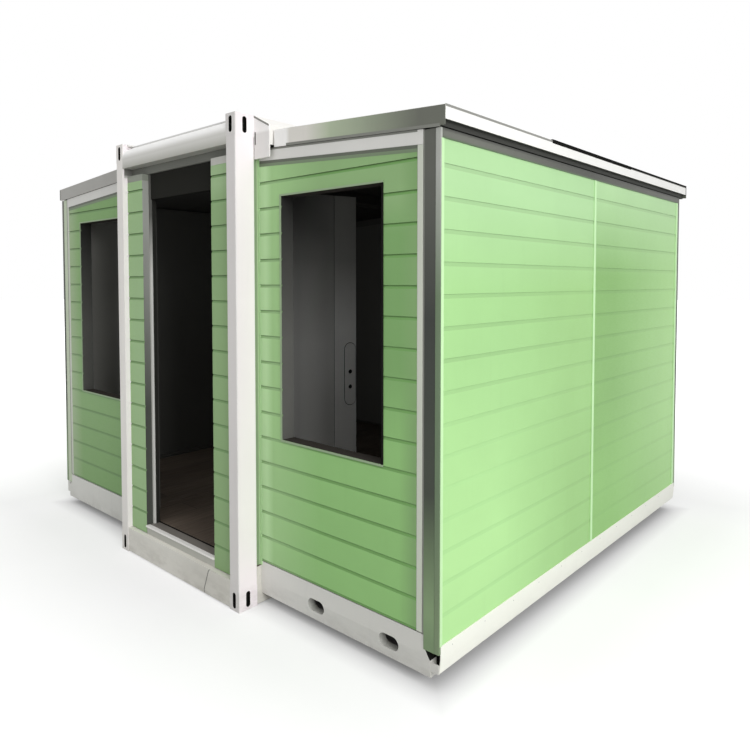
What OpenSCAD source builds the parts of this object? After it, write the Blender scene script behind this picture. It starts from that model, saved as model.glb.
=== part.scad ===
// Folding prefab house: a steel-cornered centre module with two fold-out wings.
// Frame: X runs along the front, Y runs back, Z is up. The front faces -Y.
// Origin: the middle of the house at ground level. The right side is +X, and the left side mirrors it.

/* [Centre module] */
// Height over the corner castings
module_h = 2480; // [2300:10:2900]
// Width over the corner posts
module_w = 1200; // [1100:10:2300]
// Length over the corner posts
module_l = 3160; // [2900:10:6100]
// Corner post size across the front
post_x = 76; // [60:1:220]
// Corner post size along the side
post_y = 115; // [90:1:160]
// Height of a corner casting
casting_h = 108; // [100:1:180]
// Width of the slots in a casting
slot_w = 25; // [15:1:40]
// Height of the slots in a casting
slot_h = 80; // [50:1:90]
// Depth of the slots in a casting
slot_deep = 20; // [10:1:30]

/* [Beams and floors] */
// Height of the base beams above ground
base_gap = 5; // [3:1:40]
// Height of the module's base beams
base_beam_h = 143; // [100:1:200]
// Height of the module's top beams
top_beam_h = 135; // [90:1:180]
// Drop from the top of the castings to the top of the beams
top_beam_drop = 12; // [5:1:40]
// Height of the finished floor above ground
floor_z = 205; // [190:1:300]
// Thickness of the module's roof deck
module_roof_t = 55; // [30:1:100]
// Drop from the top of the castings to the top of the roof deck
module_roof_drop = 25; // [5:1:60]
// Height of the upper ease of the top beams
beam_ease = 32; // [10:1:40]
// Length of the gussets between the top beams and the castings
gusset_l = 38; // [20:1:80]
// Thickness of the floor decks
deck_t = 25; // [15:1:50]
// Height of the wing floor beams
wing_beam_h = 167; // [120:1:200]
// Height of the wing floor beams over the finished floor
beam_lip = 17; // [5:1:30]
// Thickness of the wing floor beams
wing_beam_t = 45; // [30:1:80]
// Width of an oval hole in the right wing's end beams
oval_w = 110; // [60:1:200]
// Height of an oval hole
oval_h = 60; // [30:1:70]
// Distance between the oval holes
oval_pitch = 452; // [300:1:800]
// Distance from the outer face of the side wall to the first oval hole
oval_from_end = 263; // [220:1:400]
// Height of the oval holes over the underside of the beam
oval_height = 68; // [50:1:90]
// Height of the ledge that the side wall stands on, over the underside of the beam
ledge_h = 110; // [90:1:125]
// Depth of that ledge
ledge_w = 33; // [20:1:60]
// Chamfer along the outer edge of the ledge
ledge_chamfer = 25; // [5:1:30]

/* [Wings] */
// Width from the module's side to the outer face of the side wall
wing_w = 1125; // [900:5:2000]
// Distance from the module's end to the wing's end wall
wing_setback = 140; // [125:1:250]
// Fall of the wing roof from the module to the side wall
roof_fall = 65; // [20:1:150]
// Width of the jambs that carry the end walls
jamb_w = 50; // [30:1:60]
// Setback of the jambs from the module's side
jamb_back = 5; // [0:1:10]
// Drop from the top of the castings to the top of the end wall beside the module
wall_drop = 163; // [140:1:220]
// Thickness of the insulated wall panels
wall_t = 75; // [50:1:100]
// Height of the white rail along the top of an end wall
rail_h = 60; // [30:1:100]
// Width of the white stile at the outer end of an end wall
stile_w = 28; // [15:1:60]
// Thickness of the metal end channels of the side wall
channel_t = 12; // [4:1:20]
// Width of the strip over the joint between the side wall panels
joint_strip_w = 36; // [20:1:80]
// Gap between the two panels of a side wall
panel_gap = 2; // [1:0.5:8]
// Thickness of the sheet metal trims
trim_t = 4; // [2:0.5:8]
// Height of the rail along the top of a side wall
side_rail_h = 40; // [20:1:80]
// Height of the folded band over the foot of a side wall
band_h = 114; // [60:1:140]
// Height of the band's top edge over the ledge
band_over_ledge = 33; // [10:1:60]
// Set-in of the band's foot under the crease
band_set_in = 7; // [0:1:7]

/* [Windows] */
// Width of a window opening
window_w = 650; // [300:5:1300]
// Drop from the top of the end wall beside the module to the head of a window opening
window_drop = 248; // [200:1:600]
// Height of the window sill above the finished floor
window_sill = 674; // [400:1:1000]
// Distance from the module's side to the window
window_from_module = 175; // [100:1:400]
// Face width of the trim around a window
window_trim_w = 9; // [8:1:40]

/* [Doorway] */
// Width of the wall opening for the door
doorway_w = 700; // [600:5:1000]
// Setback of the module's end walls from the front of the posts
wall_recess = 30; // [10:1:60]
// Height of the white rail over the wall strips beside the door
head_rail_h = 38; // [20:1:60]
// Height of the recessed header under the top beam
header_h = 45; // [20:1:80]
// Thickness of the header
header_t = 45; // [20:1:60]
// Height of the door's head above the finished floor
door_head_h = 1935; // [1700:5:1960]
// Thickness of the door frame lining
frame_t = 18; // [10:1:40]
// Depth of the door frame lining
frame_d = 35; // [20:1:60]
// Thickness of the door leaf
leaf_t = 40; // [30:1:60]
// Overlap of the closed leaf over the door's head and the lining on its hinged side
leaf_lap = 12; // [6:1:16]
// Overlap of the closed leaf over the wall beside its free edge
leaf_side_lap = 38; // [10:1:60]
// Angle at which the door leaf stands open
leaf_open = 108; // [90:1:110]
// Drop from the finished floor to the top of the threshold
threshold_drop = 5; // [0:1:30]
// Reach of the threshold's nosing past the wall strips
nosing = 8; // [0:1:20]
// Width of the lock plate
lock_w = 70; // [40:1:80]
// Height of the lock plate
lock_h = 365; // [200:5:400]
// Distance from the free edge of the leaf to the middle of the lock plate
lock_from_edge = 41; // [40:1:90]
// Height of the middle of the lock plate above the finished floor
lock_height = 907; // [800:1:1200]
// Diameter of the two holes in the lock plate
lock_hole_d = 24; // [10:0.5:30]
// Distance between those holes
lock_hole_pitch = 89; // [40:1:100]
// Drop from the middle of the lock plate to the middle between the holes
lock_hole_drop = 31; // [0:1:35]

/* [Roof] */
// Thickness of the wing roof
roof_t = 78; // [50:1:120]
// Width of the hinge rail beside the module's roof
hinge_rail_w = 117; // [60:1:160]
// Fall of the hinge rail's sloping top
hinge_rail_fall = 60; // [20:1:80]
// Width of the hinge rail's lip under the module's roof
hinge_rail_lip = 40; // [20:1:70]
// Thickness of the plates over the ends of the hinge rails
end_plate_t = 8; // [4:1:20]
// Width of the slot in an end plate
plate_slot_w = 9; // [5:1:20]
// Height of the slot in an end plate
plate_slot_h = 62; // [30:1:70]
// How far the slot sits below the middle of the hinge rail's end
plate_slot_drop = 36; // [0:1:60]
// Width of the profile along the hinged edge of the wing roof
hinge_profile_w = 69; // [40:1:120]
// Overhang of the wing roof past the side wall
eave = 25; // [10:1:80]
// Height of the eave profile
eave_h = 55; // [30:1:90]
// Overhang of the wing roof past the front end wall
roof_front_over = 5; // [0:1:60]
// Overhang of the wing roof past the rear end wall
roof_rear_over = 80; // [0:1:120]

/* [Fits] */
// Clearance around the moving pieces
gap = 6; // [5:0.5:10]
// Radius of the hinge knuckles
knuckle_r = 8; // [6:0.5:12]
// Length of one hinge knuckle
knuckle_l = 40; // [25:1:80]
// Clearance between two knuckles of a hinge
knuckle_gap = 0.3; // [0.2:0.1:1]
// Clearance between a knuckle and the piece it turns past
knuckle_clear = 2; // [1:0.5:4]
// Distance from a knuckle to the piece that carries the fixed knuckles
knuckle_back = 1; // [0.5:0.5:4]
// Thickness of the hinge leaves
hinge_leaf_t = 4; // [3:0.5:6]
// Length of the hinge leaves
hinge_leaf_l = 40; // [25:1:80]
// Number of hinges along each wing roof
roof_hinges = 5; // [3:1:12]
// Distance from the end of the module to the outer roof hinges
roof_hinge_in = 300; // [250:5:600]
// Distance from the ends of an end wall to its outer hinges
wall_hinge_in = 350; // [150:5:600]
// Distance from the ends of the door leaf to its outer hinges
door_hinge_in = 250; // [150:5:600]

/* [Hidden] */
$fn = 48;
side_x = module_w / 2;            // outer face of the posts
wall_top = module_h - wall_drop;  // top of the end walls beside the module
front_y = -module_l / 2;          // front of the posts
post_in_x = side_x - post_x;      // inner face of the posts
post_back_y = front_y + post_y;   // back of the front posts
wing_front_y = front_y + wing_setback;
wall_x = side_x + wing_w;         // outer face of the side wall
wall_in_x = wall_x - wall_t;
slope = roof_fall / wing_w;

base_top = base_gap + base_beam_h;
top_beam_top = module_h - top_beam_drop;
top_beam_bottom = top_beam_top - top_beam_h;
header_bottom = top_beam_bottom - header_h;
strip_top = header_bottom - head_rail_h;
end_wall_y = front_y + wall_recess;        // face of the module's end walls
end_wall_back_y = end_wall_y + wall_t;

beam_top = floor_z + beam_lip;             // top of the wing end beams
beam_bottom = beam_top - wing_beam_h;
ledge_z = beam_bottom + ledge_h;
ledge_x1 = wall_in_x + ledge_w;
oval_z = beam_bottom + oval_height;
oval_room = wing_w - oval_from_end - wing_beam_t - oval_w / 2;
oval_last = floor(oval_room / oval_pitch);
wall_bottom = beam_top + gap;
side_wall_top = wall_top - roof_fall;
band_top = ledge_z + band_over_ledge;
band_bottom = band_top - band_h;
band_crease = band_top - band_h / 2;

// The end walls hinge on the jambs behind the posts, and swing into the wing.
jamb_x = side_x - jamb_back;
hinge_x = jamb_x + knuckle_r + knuckle_back;
hinge_y = wing_front_y + wall_t + knuckle_r;
end_wall_x0 = hinge_x + knuckle_r / 2;
swing_r = wall_in_x - gap - hinge_x;
end_wall_x1 = hinge_x + sqrt(pow(swing_r, 2) - pow(wall_t + knuckle_r, 2));
wall_hinge_z = [wall_bottom + wall_hinge_in, (wall_bottom + wall_top) / 2, wall_top - wall_hinge_in];
knuckle_step = knuckle_l + knuckle_gap;
window_x0 = side_x + window_from_module;
window_z0 = floor_z + window_sill;
window_z1 = wall_top - window_drop;

// The wing roof hinges over its inner edge, beside the hinge rail.
rail_x1 = side_x + hinge_rail_w;
rail_z0 = wall_top + gap;
roof_pin_x = rail_x1 + knuckle_r + knuckle_back;
roof_x0 = roof_pin_x + knuckle_r / 2 + knuckle_back;
roof_x1 = wall_x + eave;
profile_x1 = roof_x0 + hinge_profile_w;
roof_pin_z = roof_top(roof_pin_x) + knuckle_r + knuckle_clear;
roof_y0 = wing_front_y - roof_front_over;
roof_y1 = -wing_front_y + roof_rear_over;
roof_hinge_end = module_l / 2 - roof_hinge_in;
roof_hinge_y = [for (i = [0 : roof_hinges - 1]) roof_hinge_end * (2 * i / (roof_hinges - 1) - 1)];
module_roof_z = module_h - module_roof_drop - module_roof_t;

// The door leaf hinges inside the right jamb and closes against the frame from inside.
door_x = doorway_w / 2;
door_z0 = floor_z - threshold_drop;
door_head_z = floor_z + door_head_h;
lining_x = door_x - frame_t;
door_pin_x = door_x + gap;
door_pin_y = end_wall_back_y + gap + trim_t + leaf_t + knuckle_r;
leaf_x1 = lining_x + leaf_lap - door_pin_x;    // edges and face of the closed leaf, from its pin
leaf_x0 = -door_x - leaf_side_lap - door_pin_x;
leaf_y0 = -knuckle_r - leaf_t;
leaf_z0 = floor_z + gap;
leaf_z1 = door_head_z + leaf_lap;
door_hinge_z = [leaf_z0 + door_hinge_in, (leaf_z0 + leaf_z1) / 2, leaf_z1 - door_hinge_in];

white = [0.93, 0.93, 0.91];
green = [0.62, 0.80, 0.52];
steel = [0.55, 0.56, 0.54];
board = [0.45, 0.36, 0.27];

function wall_z(x) = wall_top - slope * (x - side_x);   // top of the end wall
function roof_under(x) = wall_z(x) + gap;
function roof_top(x) = roof_under(x) + roof_t;

// A box between two corners
module span(low, high) {
    translate(low) cube(high - low);
}

// Stretches an outline in X and Z along Y
module along_y(y0, y1) {
    translate([0, y1, 0]) rotate([90, 0, 0]) linear_extrude(height = y1 - y0) children();
}

// Repeats a piece at all four corners, with its mirror images
module four_corners() {
    for (mx = [0, 1], my = [0, 1])
        mirror([mx, 0, 0]) mirror([0, my, 0]) children();
}

module front_and_rear() {
    for (my = [0, 1]) mirror([0, my, 0]) children();
}

module both_sides() {
    for (mx = [0, 1]) mirror([mx, 0, 0]) children();
}

// ---- centre module ----
module corner_posts() {
    color(white) four_corners()
        span([post_in_x, front_y, casting_h], [side_x, post_back_y, module_h - casting_h]);
}

// A front right corner casting with a slot in its front and one in its side
module casting() {
    slot_z = (casting_h - slot_h) / 2;
    difference() {
        span([post_in_x, front_y, 0], [side_x, post_back_y, casting_h]);
        slot_cut([(post_in_x + side_x) / 2, front_y, slot_z], 0);
        slot_cut([side_x, (front_y + post_back_y) / 2, slot_z], 90);
    }
}

// A tall slot with round ends, sunk slot_deep into the face at pos
module slot_cut(pos, turn) {
    translate(pos) rotate([0, 0, turn])
        translate([0, -1, 0]) rotate([-90, 0, 0]) mirror([0, 1, 0])
            linear_extrude(height = slot_deep + 1) tall_slot(slot_w, slot_h);
}

module tall_slot(w, h) {
    translate([0, w / 2]) circle(d = w);
    translate([0, h - w / 2]) circle(d = w);
    translate([-w / 2, w / 2]) square([w, h - w]);
}

// The same lying down, with its middle at the origin
module wide_slot(w, h) {
    rotate(90) translate([0, -w / 2]) tall_slot(h, w);
}

module front_bottom_castings() {
    color(white) both_sides() casting();
}

module front_top_castings() {
    translate([0, 0, module_h - casting_h]) front_bottom_castings();
}

module rear_bottom_castings() {
    mirror([0, 1, 0]) front_bottom_castings();
}

module rear_top_castings() {
    mirror([0, 1, 0]) front_top_castings();
}

// A top beam with a sloping upper face, and a gusset against each casting
module top_beams() {
    color(white) front_and_rear() {
        difference() {
            span([-post_in_x, front_y, top_beam_bottom], [post_in_x, post_back_y, top_beam_top]);
            translate([-post_in_x - 1, front_y, top_beam_top]) rotate([0, 90, 0])
                linear_extrude(height = 2 * post_in_x + 2)
                    polygon([[-1, -1], [-1, beam_ease / 2], [0, beam_ease / 2], [beam_ease, 0],
                        [beam_ease, -1]]);
        }
        both_sides() gusset();
    }
}

module gusset() {
    y0 = front_y + post_y / 4;
    along_y(y0, y0 + post_y / 2)
        polygon([[post_in_x, top_beam_top], [post_in_x, module_h], [post_in_x - gusset_l, top_beam_top]]);
}

module base_beams() {
    color(white) front_and_rear()
        span([-post_in_x, front_y, base_gap], [post_in_x, post_back_y, base_top]);
}

module base_side_rails() {
    color(white) both_sides()
        span([post_in_x, post_back_y, base_gap], [side_x, -post_back_y, base_top]);
}

// The jambs behind the posts carry the fixed knuckles of the end walls
module wing_jambs() {
    color(white) four_corners() {
        span([jamb_x - jamb_w, post_back_y, floor_z], [jamb_x, hinge_y + knuckle_r, rail_z0]);
        for (z = wall_hinge_z) translate([hinge_x, hinge_y, z]) {
            fixed_knuckles();
            fixed_leaves();
        }
    }
}

// Hinge knuckles along Z, centred on the hinge: the fixed pair and the moving one between them
module fixed_knuckles() {
    for (s = [-1, 1]) translate([0, 0, s * knuckle_step])
        cylinder(r = knuckle_r, h = knuckle_l, center = true);
}

// Short leaves join the fixed pair to what lies to the left of it
module fixed_leaves() {
    leaf_w = knuckle_r + knuckle_back;
    for (s = [-1, 1]) translate([-leaf_w, -hinge_leaf_t / 2, s * knuckle_step - knuckle_l / 2])
        cube([leaf_w, hinge_leaf_t, knuckle_l]);
}

module moving_knuckle() {
    cylinder(r = knuckle_r, h = knuckle_l, center = true);
}

// The rail outside the module's roof carries the wing roof
module hinge_rail_right() {
    lip_x = side_x - hinge_rail_lip;
    color(white) {
        along_y(post_back_y + end_plate_t, -post_back_y - end_plate_t)
            polygon([[lip_x, rail_z0], [rail_x1, rail_z0], [rail_x1, module_h - hinge_rail_fall],
                [side_x, module_h], [side_x, module_roof_z], [lip_x, module_roof_z]]);
        for (y = roof_hinge_y) translate([roof_pin_x, y, roof_pin_z]) rotate([90, 0, 0]) {
            fixed_knuckles();
            fixed_leaves();
        }
    }
}

module hinge_rail_left() {
    mirror([1, 0, 0]) hinge_rail_right();
}

// Plates close the ends of the hinge rails and reach down past the end walls' top rails
module hinge_end_plates() {
    y1 = post_back_y + end_plate_t;
    slot_x = side_x + plate_slot_w / 2;
    slot_z = (rail_z0 + module_h - plate_slot_h) / 2 - plate_slot_drop;
    color(white) four_corners() difference() {
        along_y(post_back_y, y1)
            polygon([[side_x, rail_z0 - rail_h], [rail_x1, rail_z0 - rail_h],
                [rail_x1, module_h - hinge_rail_fall], [side_x, module_h]]);
        span([slot_x, post_back_y - 1, slot_z], [slot_x + plate_slot_w, y1 + 1, slot_z + plate_slot_h]);
    }
}

module module_roof() {
    color(white)
        span([-side_x, post_back_y, module_roof_z], [side_x, -post_back_y, module_roof_z + module_roof_t]);
}

module module_floor() {
    color(board) span([-side_x, post_back_y, base_top], [side_x, -post_back_y, floor_z]);
}

module front_walls() {
    color(green) both_sides() span([door_x, end_wall_y, base_top], [post_in_x, end_wall_back_y, strip_top]);
}

// White rails over the wall strips, and the recessed header across them
module front_head_rail() {
    color(white) {
        both_sides() span([door_x, end_wall_y, strip_top], [post_in_x, end_wall_back_y, header_bottom]);
        span([-post_in_x, end_wall_back_y - header_t, header_bottom],
            [post_in_x, end_wall_back_y, top_beam_bottom]);
    }
}

// Lining of the doorway with the panel over the door's head, and the strip on the wall that carries
// the fixed knuckles of the door
module door_frame() {
    y0 = end_wall_back_y - frame_d;
    strip_x0 = door_x - hinge_leaf_t;
    color(white) {
        difference() {
            span([-door_x, y0, door_z0], [door_x, end_wall_back_y, header_bottom]);
            span([-lining_x, y0 - 1, door_z0 - 1], [lining_x, end_wall_back_y + 1, door_head_z]);
        }
        span([strip_x0, end_wall_back_y, leaf_z0],
            [door_pin_x + hinge_leaf_t / 2, end_wall_back_y + hinge_leaf_t, leaf_z1]);
        for (z = door_hinge_z) translate([door_pin_x, door_pin_y, z]) {
            fixed_knuckles();
            for (s = [-1, 1])
                translate([-hinge_leaf_t / 2, end_wall_back_y - door_pin_y, s * knuckle_step - knuckle_l / 2])
                    cube([hinge_leaf_t, door_pin_y - end_wall_back_y, knuckle_l]);
        }
    }
}

// The threshold closes the doorway's foot, and its nosing stands proud of the wall strips
module door_threshold() {
    color(white) {
        span([-door_x, end_wall_y, base_top], [door_x, end_wall_back_y, door_z0]);
        span([-door_x, end_wall_y - nosing, door_z0 - nosing], [door_x, end_wall_y, door_z0]);
    }
}

// Places what is drawn on the closed leaf, measured from its hinge pin, at the open angle
module on_door() {
    translate([door_pin_x, door_pin_y, 0]) rotate([0, 0, -leaf_open]) children();
}

module door_leaf() {
    color(white) on_door() {
        span([leaf_x0, leaf_y0, leaf_z0], [leaf_x1, -knuckle_r, leaf_z1]);
        for (z = door_hinge_z) translate([0, 0, z]) {
            moving_knuckle();
            translate([-hinge_leaf_l, -knuckle_r - knuckle_back, -knuckle_l / 2])
                cube([hinge_leaf_l, hinge_leaf_t, knuckle_l]);
        }
    }
}

// A lock plate with two holes on each face of the leaf
module door_lock_plate() {
    color(steel) on_door() for (y = [-knuckle_r, leaf_y0 - trim_t])
        translate([leaf_x0 + lock_from_edge, y, floor_z + lock_height]) rotate([-90, 0, 0])
            linear_extrude(height = trim_t) difference() {
                translate([0, -lock_h / 2]) tall_slot(lock_w, lock_h);
                for (s = [-1, 1])
                    translate([0, lock_hole_drop + s * lock_hole_pitch / 2]) circle(d = lock_hole_d);
            }
}

module rear_wall() {
    y0 = -end_wall_back_y;
    color(green) span([-post_in_x, y0, base_top], [post_in_x, -end_wall_y, top_beam_bottom]);
}

// ---- wing floor ----
// An end beam with a stepped outer end for the side wall
module end_beam() {
    along_y(wing_front_y, wing_front_y + wing_beam_t)
        polygon([[side_x, beam_bottom], [ledge_x1, beam_bottom],
            [ledge_x1, ledge_z - 1.5 * ledge_chamfer], [ledge_x1 - ledge_chamfer, ledge_z],
            [wall_in_x, ledge_z], [wall_in_x, beam_top], [side_x, beam_top]]);
}

module wing_end_beams_right() {
    color(white) front_and_rear() difference() {
        end_beam();
        for (i = [0 : oval_last])
            translate([wall_x - oval_from_end - i * oval_pitch, wing_front_y - 1, oval_z]) rotate([-90, 0, 0])
                linear_extrude(height = wing_beam_t + 2) wide_slot(oval_w, oval_h);
    }
}

// The left end beams have no holes
module wing_end_beams_left() {
    color(white) mirror([1, 0, 0]) front_and_rear() end_beam();
}

// The inner beam lies along the module, and the outer one has the ledge of the side wall
module wing_side_beams_right() {
    y0 = wing_front_y + wing_beam_t;
    color(white) {
        span([side_x, y0, beam_bottom], [side_x + wing_beam_t, -y0, floor_z]);
        along_y(y0, -y0)
            polygon([[wall_in_x - wing_beam_t, beam_bottom], [ledge_x1, beam_bottom], [ledge_x1, ledge_z],
                [wall_in_x, ledge_z], [wall_in_x, beam_top], [wall_in_x - wing_beam_t, beam_top]]);
    }
}

module wing_side_beams_left() {
    mirror([1, 0, 0]) wing_side_beams_right();
}

module wing_floor_right() {
    y0 = wing_front_y + wing_beam_t;
    color(board) span([side_x + wing_beam_t, y0, floor_z - deck_t], [wall_in_x - wing_beam_t, -y0, floor_z]);
}

module wing_floor_left() {
    mirror([1, 0, 0]) wing_floor_right();
}

// ---- side wall ----
module side_wall_right() {
    y0 = wing_front_y + channel_t;
    color(green) front_and_rear()
        span([wall_in_x, y0, ledge_z], [wall_x, -panel_gap / 2, side_wall_top]);
}

module side_wall_left() {
    mirror([1, 0, 0]) side_wall_right();
}

// End channels, top rail, joint strip and the folded band over the foot of the wall
module side_wall_trim_right() {
    y0 = wing_front_y + channel_t;
    x1 = wall_x + trim_t;
    color(steel) front_and_rear()
        span([wall_in_x, wing_front_y, ledge_z], [x1, y0, side_wall_top]);
    color(white) {
        span([wall_x, y0, side_wall_top - side_rail_h], [x1, -y0, side_wall_top]);
        span([wall_x, -joint_strip_w / 2, band_top], [x1, joint_strip_w / 2, side_wall_top - side_rail_h]);
        along_y(y0, -y0)
            polygon([[wall_x, band_top], [x1, band_top], [x1, band_crease], [x1 - band_set_in, band_bottom],
                [wall_x - band_set_in, band_bottom], [wall_x, band_crease]]);
    }
}

module side_wall_trim_left() {
    mirror([1, 0, 0]) side_wall_trim_right();
}

// ---- end walls ----
// The panel of the front right end wall
module end_panel() {
    x1 = end_wall_x1 - stile_w;
    along_y(wing_front_y, wing_front_y + wall_t)
        polygon([[end_wall_x0, wall_bottom], [x1, wall_bottom], [x1, wall_z(x1) - rail_h],
            [end_wall_x0, wall_z(end_wall_x0) - rail_h]]);
}

// A box over the window opening, wider by margin, between two depths
module window_box(margin, y0, y1) {
    span([window_x0 - margin, y0, window_z0 - margin],
        [window_x0 + window_w + margin, y1, window_z1 + margin]);
}

// Top rail, outer stile and moving knuckles of the front right end wall
module end_rail_and_stile() {
    x1 = end_wall_x1 - stile_w;
    along_y(wing_front_y, wing_front_y + wall_t)
        polygon([[end_wall_x0, wall_z(end_wall_x0) - rail_h], [x1, wall_z(x1) - rail_h],
            [x1, wall_bottom], [end_wall_x1, wall_bottom],
            [end_wall_x1, wall_z(end_wall_x1)], [end_wall_x0, wall_z(end_wall_x0)]]);
    for (z = wall_hinge_z) translate([hinge_x, hinge_y, z]) {
        moving_knuckle();
        translate([0, -knuckle_r, -knuckle_l / 2]) cube([hinge_leaf_l, hinge_leaf_t, knuckle_l]);
    }
}

module front_end_wall_right() {
    color(green) difference() {
        end_panel();
        window_box(0, wing_front_y - 1, wing_front_y + wall_t + 1);
    }
}

module front_end_wall_left() {
    mirror([1, 0, 0]) front_end_wall_right();
}

// The rear end walls have no windows
module rear_end_wall_right() {
    color(green) mirror([0, 1, 0]) end_panel();
}

module rear_end_wall_left() {
    mirror([1, 0, 0]) rear_end_wall_right();
}

module front_end_frame_right() {
    color(white) {
        end_rail_and_stile();
        difference() {
            window_box(window_trim_w, wing_front_y - trim_t, wing_front_y);
            window_box(0, wing_front_y - trim_t - 1, wing_front_y + 1);
        }
    }
}

module front_end_frame_left() {
    mirror([1, 0, 0]) front_end_frame_right();
}

module rear_end_frame_right() {
    color(white) mirror([0, 1, 0]) end_rail_and_stile();
}

module rear_end_frame_left() {
    mirror([1, 0, 0]) rear_end_frame_right();
}

// ---- wing roof ----
// A sloping slab of the roof between two distances from the middle
module roof_slab(x0, x1, y0, y1) {
    along_y(y0, y1)
        polygon([[x0, roof_under(x0)], [x1, roof_under(x1)], [x1, roof_top(x1)], [x0, roof_top(x0)]]);
}

module roof_panel_right() {
    color(white) roof_slab(profile_x1, wall_x, roof_y0 + trim_t, roof_y1 - trim_t);
}

module roof_panel_left() {
    mirror([1, 0, 0]) roof_panel_right();
}

module roof_hinge_profile_right() {
    color(white) {
        roof_slab(roof_x0, profile_x1, roof_y0, roof_y1);
        for (y = roof_hinge_y) translate([roof_pin_x, y, roof_pin_z]) {
            rotate([90, 0, 0]) moving_knuckle();
            translate([0, -knuckle_l / 2, -knuckle_r - hinge_leaf_t])
                cube([hinge_leaf_l, knuckle_l, 1.5 * hinge_leaf_t]);
        }
    }
}

module roof_hinge_profile_left() {
    mirror([1, 0, 0]) roof_hinge_profile_right();
}

// Metal edges at the front and rear of the roof, and the eave profile along its outer edge
module roof_fascia_right() {
    color(steel) {
        roof_slab(profile_x1, roof_x1, roof_y0, roof_y0 + trim_t);
        roof_slab(profile_x1, roof_x1, roof_y1 - trim_t, roof_y1);
        along_y(roof_y0 + trim_t, roof_y1 - trim_t)
            polygon([[wall_x, roof_top(wall_x) - eave_h], [roof_x1, roof_top(roof_x1) - eave_h],
                [roof_x1, roof_top(roof_x1)], [wall_x, roof_top(wall_x)]]);
    }
}

module roof_fascia_left() {
    mirror([1, 0, 0]) roof_fascia_right();
}

corner_posts();
front_top_castings();
rear_top_castings();
front_bottom_castings();
rear_bottom_castings();
top_beams();
base_beams();
base_side_rails();
wing_jambs();
hinge_rail_right();
hinge_rail_left();
hinge_end_plates();
module_roof();
module_floor();
front_walls();
front_head_rail();
door_frame();
door_threshold();
door_leaf();
door_lock_plate();
rear_wall();
wing_end_beams_right();
wing_end_beams_left();
wing_side_beams_right();
wing_side_beams_left();
wing_floor_right();
wing_floor_left();
side_wall_right();
side_wall_left();
side_wall_trim_right();
side_wall_trim_left();
front_end_wall_right();
front_end_wall_left();
rear_end_wall_right();
rear_end_wall_left();
front_end_frame_right();
front_end_frame_left();
rear_end_frame_right();
rear_end_frame_left();
roof_panel_right();
roof_panel_left();
roof_hinge_profile_right();
roof_hinge_profile_left();
roof_fascia_right();
roof_fascia_left();
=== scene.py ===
"""Looks of the folding prefab house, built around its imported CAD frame.

Metres throughout: X runs along the front, Y runs back and Z is up. The front faces -Y.
Most pieces are drawn once, for the front right corner, and mirrored to the other sides.
"""
from math import copysign, cos, floor, pi, radians, sin

import bmesh
import bpy
from mathutils import Matrix, Vector


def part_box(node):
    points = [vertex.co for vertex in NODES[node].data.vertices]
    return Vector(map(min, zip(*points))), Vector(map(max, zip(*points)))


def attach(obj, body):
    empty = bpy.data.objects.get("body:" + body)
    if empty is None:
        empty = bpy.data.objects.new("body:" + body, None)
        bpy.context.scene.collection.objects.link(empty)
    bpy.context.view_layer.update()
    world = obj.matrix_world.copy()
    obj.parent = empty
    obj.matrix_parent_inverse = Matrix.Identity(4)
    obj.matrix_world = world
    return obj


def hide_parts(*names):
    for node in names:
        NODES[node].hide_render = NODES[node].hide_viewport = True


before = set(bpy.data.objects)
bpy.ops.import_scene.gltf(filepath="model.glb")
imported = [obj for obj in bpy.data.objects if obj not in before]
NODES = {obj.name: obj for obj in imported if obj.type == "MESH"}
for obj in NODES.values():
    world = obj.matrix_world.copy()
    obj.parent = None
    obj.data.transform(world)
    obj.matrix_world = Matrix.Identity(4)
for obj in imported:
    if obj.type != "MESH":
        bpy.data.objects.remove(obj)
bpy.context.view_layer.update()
scene = bpy.context.scene

# ---- dimensions, as the CAD source has them ----
low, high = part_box("corner_posts")
SIDE_X, FRONT_Y, TOP_Z = high.x, low.y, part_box("front_top_castings")[1].z
POST_X, POST_Y, CASTING_H = 0.076, 0.115, 0.108
POST_IN, POST_BACK = SIDE_X - POST_X, FRONT_Y + POST_Y
BASE_Z0, BASE_Z1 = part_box("base_beams")[0].z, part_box("base_beams")[1].z
TOP_BEAM_Z0, TOP_BEAM_Z1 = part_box("top_beams")[0].z, TOP_Z - 0.012
FLOOR_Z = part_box("module_floor")[1].z
WALL_T, TRIM_T, GAP = 0.075, 0.004, 0.006

low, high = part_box("wing_end_beams_right")
WING_Y, BEAM_Z0, BEAM_Z1 = low.y, low.z, high.z
BEAM_T, BEAM_CREASE = 0.045, 0.140
LEDGE_Z, LEDGE_X1 = BEAM_Z0 + 0.110, high.x
WALL_X, SIDE_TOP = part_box("side_wall_right")[1].x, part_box("side_wall_right")[1].z
WALL_IN_X = WALL_X - WALL_T
WALL_TOP = TOP_Z - 0.163
SLOPE = 0.065 / 1.125   # fall of the wing roofs
RAIL_H, STILE_W = 0.060, 0.028
low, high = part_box("front_end_wall_right")
END_X0, STILE_X0, WALL_BOTTOM = low.x, high.x, low.z
END_X1 = STILE_X0 + STILE_W
CHANNEL_T, STRIP_W, SIDE_RAIL_H = 0.012, 0.036, 0.040
BAND_Z1 = LEDGE_Z + 0.033
BAND_Z0 = BAND_Z1 - 0.114
BAND_CREASE = BAND_Z1 - 0.057
WINDOW_X0, WINDOW_X1 = SIDE_X + 0.175, SIDE_X + 0.825
WINDOW_Z0, WINDOW_Z1 = FLOOR_Z + 0.674, WALL_TOP - 0.248

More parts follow.
